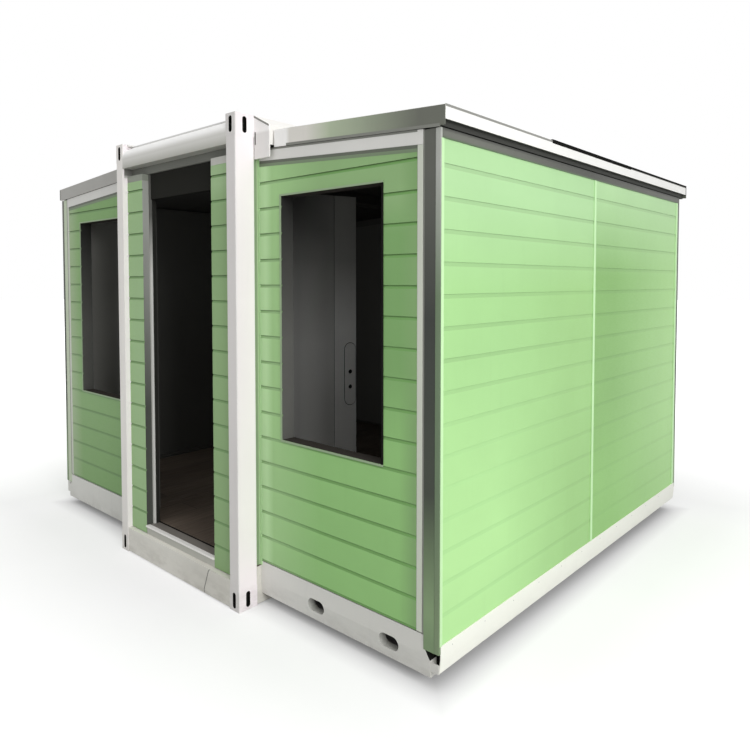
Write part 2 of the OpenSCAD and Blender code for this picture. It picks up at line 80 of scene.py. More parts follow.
RAIL_X1, RAIL_Z0 = SIDE_X + 0.117, WALL_TOP + GAP
RAIL_DROP = 0.060   # fall of the hinge rail's sloping top
ROOF_PIN = (RAIL_X1 + 0.009, 2.40372)   # x and z of the hinge line
ROOF_X0 = ROOF_PIN[0] + 0.005
PROFILE_X1, ROOF_X1 = ROOF_X0 + 0.069, WALL_X + 0.025
ROOF_Y0, ROOF_Y1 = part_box("roof_fascia_right")[0].y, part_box("roof_fascia_right")[1].y
ROOF_T, EAVE_H = 0.078, 0.055
ROOF_HINGES = [0.64 * k for k in (-2, -1, 0, 1, 2)]
DECK_Z1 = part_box("module_roof")[1].z
DECK_Z0 = DECK_Z1 - 0.055

JAMB_X0, JAMB_X1, JAMB_Y1 = 0.545, 0.595, -1.349
WALL_PIN = (0.604, -1.357)   # x and y of the hinge line
WALL_HINGES = [WALL_BOTTOM + 0.35, (WALL_BOTTOM + WALL_TOP) / 2, WALL_TOP - 0.35]
KNUCKLE_R, KNUCKLE_L, KNUCKLE_STEP = 0.008, 0.040, 0.0403
FLAP_W, FLAP_HALF = 0.040, 0.020   # a hinge's plate, and half its height

DOOR_X, LINING_X = 0.350, 0.332
MODULE_WALL_Y = FRONT_Y + 0.030
MODULE_BACK = MODULE_WALL_Y + WALL_T
HEADER_Z0 = TOP_BEAM_Z0 - 0.045
STRIP_TOP = HEADER_Z0 - 0.038
DOOR_HEAD = FLOOR_Z + 1.935
DOOR_Z0 = FLOOR_Z - 0.005
DOOR_PIN = (0.356, MODULE_BACK + GAP + TRIM_T + 0.048)
DOOR_OPEN = radians(-108)
LEAF_X0, LEAF_X1, LEAF_Y0, LEAF_Y1 = -0.744, -0.012, -0.048, -0.008
LEAF_Z0, LEAF_Z1 = FLOOR_Z + GAP, DOOR_HEAD + 0.012
DOOR_HINGES = [LEAF_Z0 + 0.25, (LEAF_Z0 + LEAF_Z1) / 2, LEAF_Z1 - 0.25]
LOCK_X, LOCK_Z = LEAF_X0 + 0.041, FLOOR_Z + 0.907

# Laps of the boards: the pitch, and the depth and height of the slope at the top of each board
SIDE_LAP, END_LAP, DOOR_LAP = (0.128, 0.0022, 0.018), (0.1275, 0.006, 0.015), (0.128, 0.006, 0.014)


def wall_z(x):
    """Top of an end wall at a distance from the middle."""
    return WALL_TOP - SLOPE * (x - SIDE_X)


def roof_z(x, up=0.0):
    """Underside of the wing roof, or a height above it."""
    return wall_z(x) + GAP + up


# ---- materials ----
class Nodes:
    """A short way to add and join the shader nodes of a material or a world."""

    def __init__(self, owner):
        owner.use_nodes = True
        self.owner, self.tree = owner, owner.node_tree
        self.shader = self.tree.nodes.get("Principled BSDF")

    def add(self, kind, inputs=(), **settings):
        node = self.tree.nodes.new("ShaderNode" + kind)
        for key, value in settings.items():
            setattr(node, key, value)
        for key, value in dict(inputs).items():
            if isinstance(value, bpy.types.NodeSocket):
                self.tree.links.new(value, node.inputs[key])
            else:
                node.inputs[key].default_value = value
        return node

    def noise(self, stretch, scale, detail=4.0, roughness=0.55):
        """Noise in the object's own coordinates, stretched along X, Y and Z."""
        where = self.add("TexCoord").outputs["Object"]
        place = self.add("Mapping", {"Vector": where, "Scale": stretch}).outputs["Vector"]
        return self.add("TexNoise", {"Vector": place, "Scale": scale, "Detail": detail,
                                     "Roughness": roughness}).outputs["Fac"]

    def range(self, value, low, high, to_low, to_high):
        return self.add("MapRange", {"Value": value, "From Min": low, "From Max": high, "To Min": to_low,
                                     "To Max": to_high}).outputs["Result"]

    def along(self, value, start, end, a, b):
        """Runs from a to b while the value goes from start to end, in either direction."""
        return self.range(value, start, end, a, b) if start < end else self.range(value, end, start, b, a)

    def mix(self, factor, a, b):
        node = self.add("Mix", data_type="RGBA")
        for socket, value in ((node.inputs[0], factor), (node.inputs[6], a), (node.inputs[7], b)):
            if isinstance(value, bpy.types.NodeSocket):
                self.tree.links.new(value, socket)
            else:
                socket.default_value = value
        return node.outputs[2]

    def calc(self, operation, *values):
        return self.add("Math", dict(enumerate(values)), operation=operation).outputs[0]

    def place(self):
        """The object's own X, Y and Z, by name."""
        return self.add("SeparateXYZ", {"Vector": self.add("TexCoord").outputs["Object"]}).outputs

    def link(self, value, key):
        self.tree.links.new(value, self.shader.inputs[key])


def coat(name, color, rough=0.45, metal=0.0, mottle=0.06, grime=0.0, foot=0.0, bump=0.12,
         grain=(1, 1, 1), grain_scale=160, shine=0.2, fades=(), shades=()):
    """Paint or metal with a mottled tone, streaks of grime, a dirty foot and a fine grain.

    fades holds (axis, colour, start, end), which here paint light and shade: the tone runs to that colour between two
    places along x, y or z.
    shades holds (axis, factor, start, end): the tone is multiplied by 1 to factor between two places.
    """
    n = Nodes(bpy.data.materials.new(name))
    where = n.place()
    tone = (*color, 1) if fades else color
    for axis, other, start, end in fades:
        tone = n.mix(n.along(where[axis.upper()], start, end, 0.0, 1.0), tone, (*other, 1))
    shade = n.range(n.noise((1, 1, 1), 1.7, 5), 0.3, 0.7, 1 - mottle, 1 + mottle / 3)
    for axis, factor, start, end in shades:
        shade = n.calc("MULTIPLY", shade, n.along(where[axis.upper()], start, end, 1.0, factor))
    if grime:
        streak = n.range(n.noise((7, 7, 0.7), 3.0, 6, 0.65), 0.56, 0.78, 1.0, 1 - 0.55 * grime)
        shade = n.calc("MULTIPLY", shade, streak)
    tone = n.add("VectorMath", {0: tone, "Scale": shade}, operation="SCALE").outputs[0]
    if foot:
        low = n.range(where["Z"], 0.0, 0.16, 1.0, 0.0)
        spots = n.range(n.noise((2, 2, 5), 4.0, 7, 0.7), 0.42, 0.62, 0.0, foot)
        tone = n.mix(n.calc("MULTIPLY", low, spots), tone, (0.11, 0.09, 0.06, 1))
    n.link(tone, "Base Color")
    fine = n.noise(grain, grain_scale, 3)
    n.link(n.range(fine, 0.3, 0.7, max(rough - 0.07, 0.02), min(rough + 0.07, 1.0)), "Roughness")
    if bump:
        n.link(n.add("Bump", {"Strength": bump, "Distance": 0.0006, "Height": fine}).outputs["Normal"], "Normal")
    n.shader.inputs["Metallic"].default_value = metal
    n.shader.inputs["Specular IOR Level"].default_value = shine
    return n.owner


def boards(name, color, fades=()):
    """Painted boards with a fine lengthwise grain."""
    return coat(name, color, 0.42, mottle=0.05, grime=0.05, bump=0.35, grain=(1, 1, 9), grain_scale=22,
                fades=fades)


# Grain of metal brushed along X, Y or Z, and of fine lines across Z
BRUSHED_X, BRUSHED_Y, BRUSHED_Z, LINED = (
    {"grain": grain, "grain_scale": scale}
    for grain, scale in (((1, 30, 30), 30), ((30, 1, 30), 30), ((30, 30, 1), 30), ((1, 1, 30), 40)))

# White steel. The fades stand for the shade that the corners and the ground give in the photo's light.
WHITE = coat("white_steel", (0.86, 0.845, 0.81), 0.42, mottle=0.03, grime=0.06, foot=0.2)
# The posts' fronts are painted darker than their sides, the right front more than the left: painted shade.
POST_WHITES = {
    sx: coat(f"post_white_{side}", (0.93, 0.865, 0.885), 0.42, mottle=0.03, grime=0.05, foot=0.2,
             fades=[("y", front, FRONT_Y + 0.006, FRONT_Y + 0.001)])
    for side, sx, front in (("right", 1, (0.693, 0.67, 0.656)), ("left", -1, (0.81, 0.785, 0.75)))}
# The end beams' white is set darker than the steel's and darkens along the right beam's outer half: painted shade.
BEAM_WHITE = coat("beam_white", (0.72, 0.71, 0.675), mottle=0.05, grime=0.1, foot=0.25, fades=[
    ("x", (0.66, 0.655, 0.62), 0.65, 1.0), ("x", (0.61, 0.605, 0.57), 1.0, 1.35),
    ("x", (0.7, 0.7, 0.66), 0.6, -0.6)])
# The base beams' white is set darker than the steel's and lightens towards the left: painted shade and light.
BASE_WHITE = coat("base_white", (0.645, 0.63, 0.575), mottle=0.04, grime=0.08, foot=0.25, fades=[
    ("x", (0.74, 0.725, 0.665), 0.25, -0.05)])
# The top beams carry a painted highlight along their rounded upper edge and painted shade along their bottom above the
# header.
TOP_WHITE = coat("top_beam_white", (0.66, 0.655, 0.62), 0.42, mottle=0.03, grime=0.04, fades=[
    ("z", (0.95, 0.945, 0.93), TOP_BEAM_Z1 - 0.08, TOP_BEAM_Z1 - 0.05),
    ("z", (0.7, 0.695, 0.68), TOP_BEAM_Z1 - 0.016, TOP_BEAM_Z1 - 0.013),
    ("z", (0.43, 0.43, 0.385), TOP_BEAM_Z0 + 0.045, TOP_BEAM_Z0)])
ROOF_WHITE = coat("roof_white", (0.8, 0.8, 0.78), 0.4, mottle=0.07, grime=0.12)
# The frame, hinge profile and stile whites are one white paint at different levels: painted shade on the frame's rail
# and on the greenish-grey stile, painted light on the hinge profile.
FRAME_WHITE = coat("frame_white", (0.69, 0.685, 0.655), 0.4, mottle=0.04, grime=0.05)
PROFILE_WHITE = coat("profile_white", (0.93, 0.92, 0.9), 0.4, mottle=0.03, grime=0.05)
STILE_WHITE = coat("stile_white", (0.575, 0.605, 0.52), 0.4, mottle=0.04, grime=0.05)
# Grey for painted shade in the seam around the base beams' plates and inside the end plates' slots.
SEAM_SHADE = coat("seam_shade", (0.22, 0.22, 0.2), 0.6, mottle=0.1)
TRIM_GREEN = coat("trim_green", (0.29, 0.385, 0.24), 0.5, mottle=0.04, grime=0.04)
STRIP_GREEN = coat("strip_green", (0.54, 0.8, 0.44), 0.4, mottle=0.04, grime=0.04)
BAND_PAINT = coat("band_paint", (0.86, 0.86, 0.79), 0.42, mottle=0.03, grime=0.05, foot=0.12)
# Green boards, their faces and their grooves. Side walls: -1 is the front half, 1 the rear one.
# Elsewhere 1 is right and -1 left. Grooves are painted darker than faces: painted shade with some dirt.
# The side walls' fades and their darker rear half are painted light and shade.
SIDE_GREENS = {
    -1: boards("side_green_front", (0.435, 0.735, 0.31), [
        ("z", (0.355, 0.615, 0.255), 0.55, 1.35), ("y", (0.326, 0.572, 0.217), -1.0, -0.25),
        ("z", (0.415, 0.66, 0.335), 1.6, 2.05)]),
    1: boards("side_green_rear", (0.272, 0.515, 0.17), [
        ("z", (0.22, 0.43, 0.131), 0.5, 1.0), ("y", (0.385, 0.65, 0.262), 0.3, 1.35),
        ("z", (0.44, 0.68, 0.355), 1.68, 2.2)])}
SIDE_GROOVES = {
    -1: boards("side_groove_front", (0.305, 0.53, 0.22), [
        ("z", (0.4, 0.69, 0.29), 1.35, 0.85), ("y", (0.305, 0.535, 0.205), -1.0, -0.25),
        ("z", (0.355, 0.565, 0.285), 1.6, 2.05)]),
    1: boards("side_groove_rear", (0.265, 0.5, 0.168), [
        ("z", (0.205, 0.4, 0.125), 0.5, 1.0), ("y", (0.365, 0.615, 0.25), 0.3, 1.35),
        ("z", (0.385, 0.6, 0.31), 1.68, 2.2)])}
REAR_GREEN = boards("rear_green", (0.33, 0.6, 0.24))
REAR_GROOVE = boards("rear_groove", (0.21, 0.42, 0.15))
# The doorway's right walls are set darker than the left and lighter at the top: painted shade and light.
DOOR_GREENS = {
    1: boards("door_green_right", (0.257, 0.403, 0.184), [("z", (0.34, 0.5, 0.26), 2.05, 2.15)]),
    -1: boards("door_green_left", (0.317, 0.488, 0.24))}
DOOR_GROOVE = boards("door_groove", (0.18, 0.32, 0.125))
# The end walls' fades, and the left ones set darker than the right, are painted light and shade.
END_GREENS = {
    1: boards("end_green_right", (0.275, 0.515, 0.185), [
        ("z", (0.195, 0.37, 0.132), 0.95, 1.3), ("z", (0.265, 0.435, 0.19), 1.85, 2.0),
        ("x", (0.335, 0.555, 0.243), 1.05, 0.74), ("x", (0.47, 0.7, 0.37), 0.705, 0.655),
        ("x", (0.215, 0.37, 0.15), 1.52, 1.6)]),
    -1: boards("end_green_left", (0.195, 0.36, 0.125), [("x", (0.365, 0.47, 0.28), -1.45, -1.66)])}
END_GROOVES = {
    1: boards("end_groove_right", (0.165, 0.345, 0.105), [("x", (0.28, 0.46, 0.21), 1.05, 0.7)]),
    -1: boards("end_groove_left", (0.15, 0.29, 0.1), [("x", (0.27, 0.39, 0.2), -1.45, -1.66)])}
RAIL_SHADOW = boards("rail_shadow", (0.115, 0.13, 0.1))
RAIL_SHADE = boards("rail_shade", (0.175, 0.235, 0.145))
# Shade in corners, and greys
CORNER_SHADE = coat("corner_shade", (0.19, 0.19, 0.175), 0.5, mottle=0.08, fades=[
    ("z", (0.62, 0.61, 0.59), HEADER_Z0 + 0.012, HEADER_Z0 - 0.01)])
EDGE_SHADE = coat("edge_shade", (0.22, 0.225, 0.2), 0.5, mottle=0.08)
# Grey for painted shade inside the end beams' holes.
HOLE_GREY = coat("hole_grey", (0.42, 0.42, 0.39), 0.5, mottle=0.08, grime=0.1)
# The end plates are painted lighter on their upper part: painted light.
PLATE_WHITE = coat("plate_white", (0.765, 0.75, 0.73), 0.42, mottle=0.03, grime=0.04, fades=[
    ("z", (0.95, 0.94, 0.92), TOP_Z - 0.097, TOP_Z - 0.082)])
# The boards' cut ends and reveals: the panel core's dark colour, deepened by painted shade and lightened lower down by
# painted light.
REVEAL = coat("panel_core_in_shade", (0.032, 0.032, 0.03), 0.7, mottle=0.1, grime=0.1, bump=0.4, grain_scale=260,
              shine=0.0, fades=[("z", (0.125, 0.125, 0.115), 2.0, 1.35)])
STEP_GREY = coat("step_grey", (0.5, 0.5, 0.455), 0.5, grime=0.1)
# Inside the house and around the door
# The step faces under each board's lap are painted near black: painted shade.
LAP_SHADE = coat("lap_shade", (0.05, 0.045, 0.04), 0.7, mottle=0.15, grime=0.2, shine=0.0)
# The inside panels, rails, ceilings and roof undersides are painted dark: painted shade. The inside panels lighten
# towards the front: painted light from the openings.
INSIDE = coat("inside_panel", (0.13, 0.13, 0.12), 0.6, mottle=0.07, grime=0.05, shine=0.1, fades=[
    ("y", (0.42, 0.42, 0.39), -0.75, -1.25)])
INSIDE_RAIL = coat("inside_rail", (0.1, 0.1, 0.092), 0.6, mottle=0.07, grime=0.05, shine=0.0)
CEILING = coat("ceiling_panel", (0.07, 0.07, 0.065), 0.7, mottle=0.07, shine=0.0)
# Around the doorway: the header, transom and jamb backs are painted dark, the head rail darker on the left, the lining
# darker at the top and the boards' ends darker towards the bottom: painted shade.
HEADER = coat("header_grey", (0.16, 0.165, 0.145), 0.6, mottle=0.1, grime=0.1)
HEAD_GREY = coat("head_rail_grey", (0.52, 0.52, 0.48), 0.5, grime=0.06, shine=0.3, fades=[
    ("x", (0.26, 0.28, 0.235), 0.1, -0.1)])
TRANSOM = coat("transom_dark", (0.026, 0.026, 0.023), 0.7, mottle=0.1, shine=0.0)
LINING = coat("lining_white", (0.7, 0.7, 0.665), mottle=0.05, grime=0.08, fades=[
    ("z", (0.12, 0.12, 0.11), 1.7, 2.05)])
DOORWAY_EDGE = coat("doorway_edge", (0.07, 0.075, 0.065), 0.6, mottle=0.08, fades=[
    ("z", (0.36, 0.37, 0.34), 0.9, 2.0)])
SILL = coat("sill_grey", (0.2, 0.185, 0.165), 0.5, mottle=0.15, grime=0.3, shine=0.3)
DOOR_PAINT = coat("door_paint", (0.62, 0.62, 0.6), 0.38, mottle=0.05, grime=0.05)
# The leaf's inner face carries painted shade, darker at the top and towards the hinge, and the fold panel painted
# light.
DOOR_BACK = coat("door_back", (0.75, 0.75, 0.72), 0.38, mottle=0.05, grime=0.05,
                 fades=[("z", (0.34, 0.34, 0.32), 1.3, 1.78), ("z", (0.26, 0.26, 0.245), 1.78, 1.95)],
                 shades=[("y", 0.42, -0.86, -1.06), ("y", 0.6, -1.06, -1.4)])
FOLD_BACK = coat("fold_back", (0.95, 0.95, 0.92), 0.38, mottle=0.05, grime=0.05, fades=[
    ("z", (0.38, 0.38, 0.36), 1.37, 1.78), ("z", (0.32, 0.32, 0.3), 1.78, 2.0)])
# Seals, bare metal, and metal in shade
# Black for rubber seals, and laid as painted shade in slots, gaps and under ledges.
SEAL_AND_SHADE = coat("black_seal_and_shade", (0.014, 0.014, 0.013), 0.75, mottle=0.2, bump=0.2, shine=0.0)
EAVE_SHADE = coat("eave_underside", (0.052, 0.053, 0.048), 0.6, mottle=0.15, shine=0.1)
STEEL = coat("brushed_steel", (0.42, 0.42, 0.41), 0.32, 0.9, mottle=0.08, bump=0.2, **LINED)
LOCK_GREY = coat("lock_grey", (0.95, 0.95, 0.92), 0.35, **LINED)
SCREW = coat("screw_zinc", (0.5, 0.5, 0.48), 0.35, 0.85, mottle=0.1)
# The fascia's x fades are painted light, reflection and shade: white next to the hinge profile, greenish, then dark
# towards the outer end, and a set level on the left.
FASCIA = coat("fascia_metal", (0.72, 0.7, 0.65), 0.4, mottle=0.08, grime=0.1, **BRUSHED_X, fades=[
    ("x", (0.95, 0.94, 0.92), 0.845, 0.82), ("x", (0.43, 0.5, 0.355), 0.96, 1.12),
    ("x", (0.147, 0.154, 0.128), 1.1, 1.62), ("x", (0.41, 0.405, 0.38), 0.1, -0.1)])
# The eave metal is painted near white: painted reflection of the sky on the fascia's metal.
EAVE = coat("eave_metal", (0.84, 0.835, 0.81), 0.35, mottle=0.04, grime=0.06, **BRUSHED_Y)
EDGE_GREY = coat("edge_grey", (0.26, 0.26, 0.24), 0.5, mottle=0.1, **BRUSHED_Y)
# The corner channels are one metal: the right one painted dark with a lighter top and a greenish foot, the left one
# pale: painted shade, light and reflection.
CHANNEL = coat("channel_metal", (0.037, 0.041, 0.036), 0.5, mottle=0.12, grime=0.1, **BRUSHED_Z, fades=[
    ("z", (0.118, 0.122, 0.106), 1.5, 2.1), ("z", (0.052, 0.062, 0.047), 1.5, 0.9),
    ("z", (0.245, 0.35, 0.19), 0.8, 0.3), ("z", (0.19, 0.27, 0.15), 0.34, 0.2)])
BEAD = coat("channel_bead", (0.13, 0.19, 0.11), mottle=0.1, shine=0.3, **BRUSHED_Z, fades=[
    ("z", (0.42, 0.43, 0.4), 1.6, 2.1), ("z", (0.18, 0.245, 0.14), 0.8, 0.3)])
LEFT_CHANNEL = coat("left_channel", (0.52, 0.6, 0.44), grime=0.08, shine=0.3, **BRUSHED_Z)
# The side walls' white top rail is painted dark grey with fades along its length and height: painted shade under the
# eave.
RAIL_IN_SHADE = coat("rail_in_shade", (0.145, 0.15, 0.13), mottle=0.08, grime=0.15, fades=[
    ("y", (0.075, 0.077, 0.068), -1.2, -0.15), ("y", (0.12, 0.123, 0.108), -0.05, 1.2),
    ("z", (0.065, 0.067, 0.06), SIDE_TOP - 0.014, SIDE_TOP - 0.002),
    ("z", (0.1, 0.14, 0.085), SIDE_TOP - 0.03, SIDE_TOP - 0.038)])
# The jambs are painted dark green, lighter towards the wall's face: painted shade.
JAMB_GREEN = coat("jamb_green", (0.225, 0.31, 0.18), 0.5, grime=0.08, shine=0.3, fades=[
    ("y", (0.43, 0.57, 0.34), WING_Y - 0.01, WING_Y - 0.002)])


def floor_material():
    """Brown boards: each has its own tone, with grain along it."""
    n = Nodes(bpy.data.materials.new("floor_boards"))
    where = n.add("TexCoord").outputs["Object"]
    turned = n.add("Mapping", {"Vector": where, "Rotation": (0, 0, pi / 2)}).outputs["Vector"]
    planks = n.add("TexBrick", {"Vector": turned, "Color1": (0.10, 0.078, 0.060, 1),
                                "Color2": (0.15, 0.120, 0.092, 1), "Mortar": (0.02, 0.015, 0.012, 1),
                                "Scale": 1.0, "Mortar Size": 0.002, "Brick Width": 1.2, "Row Height": 0.18})
    grain = n.noise((22, 1.4, 22), 3.5, 7, 0.65)
    n.link(n.mix(n.range(grain, 0.35, 0.7, 0.0, 0.5), planks.outputs["Color"], (0.05, 0.035, 0.025, 1)),
           "Base Color")
    n.link(n.range(grain, 0.3, 0.7, 0.45, 0.65), "Roughness")
    n.link(n.add("Bump", {"Strength": 0.3, "Distance": 0.001, "Height": grain}).outputs["Normal"], "Normal")
    return n.owner


BOARDS = floor_material()


# ---- building pieces ----
SIDES = (("right", 1), ("left", -1))
ENDS = (("front", 1), ("rear", -1))
CORNERS = [(sx, sy) for sx in (1, -1) for sy in (1, -1)]
SKIN = 0.0006   # how far a thin skin, mostly of painted shade, stands in front of its surface
PLAY = 0.0008   # between a seal and the wall that swings past it
LIP_T = TRIM_T - 0.0005   # a lip under a roof's edge


def span(s, a, b):
    """The stretch from a to b, or its mirror image where s is -1, lower end first."""
    return sorted((s * a, s * b))


def strip(a, b, low, high, line=roof_z):
    """The outline of a strip from a to b, between two heights above a sloping line."""
    return [(a, line(a) + low), (b, line(b) + low), (b, line(b) + high), (a, line(a) + high)]


def set_in(outline, by=0.001):
    """A strip's outline with its first end moved a little along."""
    (a, low), b, c, (a, high) = outline
    return [(a + by, low), b, c, (a + by, high)]


def facing(at, axis):
    """Places something drawn along Z at a point, along an axis vector."""
    return Matrix.Translation(at) @ Vector(axis).to_track_quat("Z", "Y").to_matrix().to_4x4()


def add_object(name, data):
    made = bpy.data.objects.new(name, data)
    scene.collection.objects.link(made)
    return made


class Piece:
    """Collects bevelled solids and makes one object of them, mirrored by sx and sy from the front right."""

    def __init__(self, name, body="house", sx=1, sy=1):
        self.name, self.body, self.sx, self.sy = name, body, sx, sy
        self.bm, self.materials = bmesh.new(), []

    def index(self, material):
        if material not in self.materials:
            self.materials.append(material)
        return self.materials.index(material)

    def add(self, bm, material, bevel=0.0, turn=None):
        """Adds a solid; a material of None keeps the faces' own."""
        bmesh.ops.recalc_face_normals(bm, faces=bm.faces)
        if material is not None:
            for face in bm.faces:
                face.material_index = self.index(material)
        if bevel:
            sharp = [e for e in bm.edges if e.is_manifold and e.calc_face_angle() > radians(30)]
            bmesh.ops.bevel(bm, geom=sharp, offset=bevel, segments=2, profile=0.7, affect="EDGES",
                            clamp_overlap=True, material=-1)
        if turn is not None:
            bm.transform(turn)
        mesh = bpy.data.meshes.new("part")
        bm.to_mesh(mesh)
        bm.free()
        self.bm.from_mesh(mesh)
        bpy.data.meshes.remove(mesh)

    def box(self, low, high, material, bevel=0.002, turn=None):
        bm = bmesh.new()
        bmesh.ops.create_cube(bm, size=1)
        for v in bm.verts:
            v.co = Vector([low[i] if v.co[i] < 0 else high[i] for i in range(3)])
        self.add(bm, material, bevel, turn)

    def prism(self, outline, a, b, material, bevel=0.002, turn=None, axis="y"):
        """Stretches an outline along x, y or z from a to b. Its points hold the other two axes in order."""
        bm = bmesh.new()
        other = [i for i in range(3) if i != "xyz".index(axis)]
        ends = []
        for level in (a, b):
            ring = []
            for point in outline:
                co = [level] * 3
                co[other[0]], co[other[1]] = point
                ring.append(bm.verts.new(co))
            ends.append(ring)
        bm.faces.new(ends[0])
        bm.faces.new(ends[1])
        for i in range(len(outline)):
            j = (i + 1) % len(outline)
            bm.faces.new([ends[0][i], ends[0][j], ends[1][j], ends[1][i]])
        self.add(bm, material, bevel, turn)

    def screw(self, at, normal, r):
        """A low domed screw head on a surface."""
        bm = bmesh.new()
        bmesh.ops.create_cone(bm, cap_ends=True, segments=12, radius1=r, radius2=0.55 * r, depth=0.5 * r,
                              matrix=facing(at, normal) @ Matrix.Translation((0, 0, 0.2 * r)))
        self.add(bm, SCREW)

    def hinge(self, at, axis, moving, turn=None):
        """The knuckles of one side of a hinge: the middle one moves and the outer two are fixed."""
        for s in (0,) if moving else (-1, 1):
            middle = Vector(at) + Vector(axis) * s * KNUCKLE_STEP
            bm = bmesh.new()
            bmesh.ops.create_cone(bm, cap_ends=True, segments=24, radius1=KNUCKLE_R, radius2=KNUCKLE_R,
                                  depth=KNUCKLE_L, matrix=facing(middle, axis))
            self.add(bm, STEEL, 0.0015, turn)

    def done(self, *replaced, slot="white_paint"):
        for v in self.bm.verts:
            v.co.x *= self.sx
            v.co.y *= self.sy
        if self.sx * self.sy < 0:
            bmesh.ops.reverse_faces(self.bm, faces=self.bm.faces)
        mesh = bpy.data.meshes.new(self.name)
        self.bm.to_mesh(mesh)
        self.bm.free()
        for material in self.materials:
            mesh.materials.append(material)
        for face in mesh.polygons:
            face.use_smooth = True
        mesh.set_sharp_from_angle(angle=radians(50))
        piece = add_object(self.name, mesh)
        piece.modifiers.new("even_shading", "WEIGHTED_NORMAL").keep_sharp = True
        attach(piece, self.body)
        if replaced:
            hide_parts(*replaced)


def cad_copy(node):
    """A CAD node's solids, joined up and with their flat faces whole."""
    bm = bmesh.new()
    bm.from_mesh(NODES[node].data)
    bmesh.ops.remove_doubles(bm, verts=bm.verts, dist=2e-5)
    bmesh.ops.dissolve_limit(bm, angle_limit=radians(1), verts=bm.verts, edges=bm.edges)
    return bm


def clipped(outline, low, high):
    """A convex outline of (depth, height) points, cut to a span of heights."""
    for limit, keep_below in ((high, True), (low, False)):
        kept = []
        for i, a in enumerate(outline):
            b = outline[(i + 1) % len(outline)]
            inside = [(p[1] <= limit) if keep_below else (p[1] >= limit) for p in (a, b)]
            if inside[0]:
                kept.append(a)
            if inside[0] != inside[1]:
                t = (limit - a[1]) / (b[1] - a[1])
                kept.append((a[0] + t * (b[0] - a[0]), limit))
        outline = kept
    return outline


def siding(piece, spans, first, lap, place, face, groove, ends, back, slope=None):
    """Grooved boards over rectangular spans (u0, u1, z0, z1) of a wall.

    first is the height of any groove line. place(u, depth, z) gives a point of the wall.
    face, groove, ends and back are its paints.
    slope, if given, is (u, z, fall): the wall is cut off above that sloping line.
    """
    pitch, deep, rise = lap
    bm = bmesh.new()
    for u0, u1, z0, z1 in spans:
        line = first + floor((z0 - first) / pitch + 1e-6) * pitch
        while line < z1 - 1e-6:
            top = line + pitch
            outline = [(deep, top), (0.0, top - rise), (0.0, line), (WALL_T, line), (WALL_T, top)]
            outline = clipped(outline, max(line, z0), min(top, z1))
            if len(outline) > 2:
                rings = [[bm.verts.new(place(u, d, z)) for d, z in outline] for u in (u0, u1)]
                for ring in rings:
                    bm.faces.new(ring).material_index = piece.index(ends)
                for i, a in enumerate(outline):
                    j = (i + 1) % len(outline)
                    b = outline[j]
                    side = bm.faces.new([rings[0][i], rings[0][j], rings[1][j], rings[1][i]])
                    near, far = sorted((a[0], b[0]))
                    # the faces under each lap get painted shade
                    paint = (face if far < 1e-9 else back if near > WALL_T - 1e-9 else
                             groove if far < deep + 1e-9 else LAP_SHADE)
                    side.material_index = piece.index(paint)
            line = top
    bmesh.ops.recalc_face_normals(bm, faces=bm.faces)
    if slope:
        u, z, fall = slope
        on = Vector(place(u, 0, z))
        along = Vector(place(u + 1, 0, z - fall)) - on
        up = along.cross(Vector(place(u, 1, z)) - on)
        if up.z < 0:
            up = -up
        cut = bmesh.ops.bisect_plane(bm, geom=bm.verts[:] + bm.edges[:] + bm.faces[:], plane_co=on,
                                     plane_no=up, clear_outer=True)
        edges = [e for e in cut["geom_cut"] if isinstance(e, bmesh.types.BMEdge)]
        for f in bmesh.ops.holes_fill(bm, edges=edges, sides=0)["faces"]:
            f.material_index = piece.index(ends)
    piece.add(bm, None)


def rounded_box(x0, y0, x1, y1, r):
    """The outline of a rectangle with rounded corners."""
    corners = ((x1 - r, y1 - r, 0), (x0 + r, y1 - r, 90), (x0 + r, y0 + r, 180), (x1 - r, y0 + r, 270))
    return [(x + r * cos(a), y + r * sin(a)) for x, y, turn in corners
            for a in [radians(turn + d) for d in (0, 30, 60, 90)]]


def around_hole(u0, u1, z0, z1, hole):
    """The spans of a wall that leave a rectangular hole (u0, u1, z0, z1) open."""
    a, b, c, d = hole
    return [(u0, a, z0, z1), (b, u1, z0, z1), (a, b, z0, c), (a, b, d, z1)]


# ---- centre module ----
piece = Piece("posts")
for sx, sy in CORNERS:
    x, y = span(sx, POST_IN, SIDE_X), span(sy, FRONT_Y, POST_BACK)
    piece.prism(rounded_box(x[0], y[0], x[1], y[1], 0.005), CASTING_H, TOP_Z - CASTING_H, POST_WHITES[sx], 0.0,
                axis="z")
piece.done("corner_posts")
for corner in ("front_top", "rear_top", "front_bottom", "rear_bottom"):
    node = f"{corner}_castings"
    piece = Piece(node + "_skin")
    bm = cad_copy(node)
    for face in bm.faces:   # the slots' inner faces are painted black: painted shade
        middle = face.calc_center_median()
        planes = ((middle.x, (SIDE_X, POST_IN)), (middle.y, (FRONT_Y, POST_BACK)),
                  (middle.z, (0, CASTING_H, TOP_Z - CASTING_H, TOP_Z)))
        depth = min(abs(abs(v) - abs(plane)) for v, places in planes for plane in places)
        paint = POST_WHITES[1 if middle.x > 0 else -1]
        face.material_index = piece.index(paint if depth < 0.001 else SEAL_AND_SHADE)
    piece.add(bm, None, 0.0018)
    piece.done(node)


def rounded_profile():
    """Cross-section (y, z) of the front top beam, with a rounded upper front edge."""
    r, z1, lip = 0.058, TOP_BEAM_Z1, 0.013
    arc = [(FRONT_Y + r - r * cos(a), z1 - lip - r + r * sin(a))
           for a in [radians(d) for d in range(0, 85, 6)]]
    step = arc[-1][0] + 0.002
    return [(FRONT_Y, TOP_BEAM_Z0)] + arc + [(step, z1 - lip), (step, z1), (POST_BACK, z1), (POST_BACK, TOP_BEAM_Z0)]


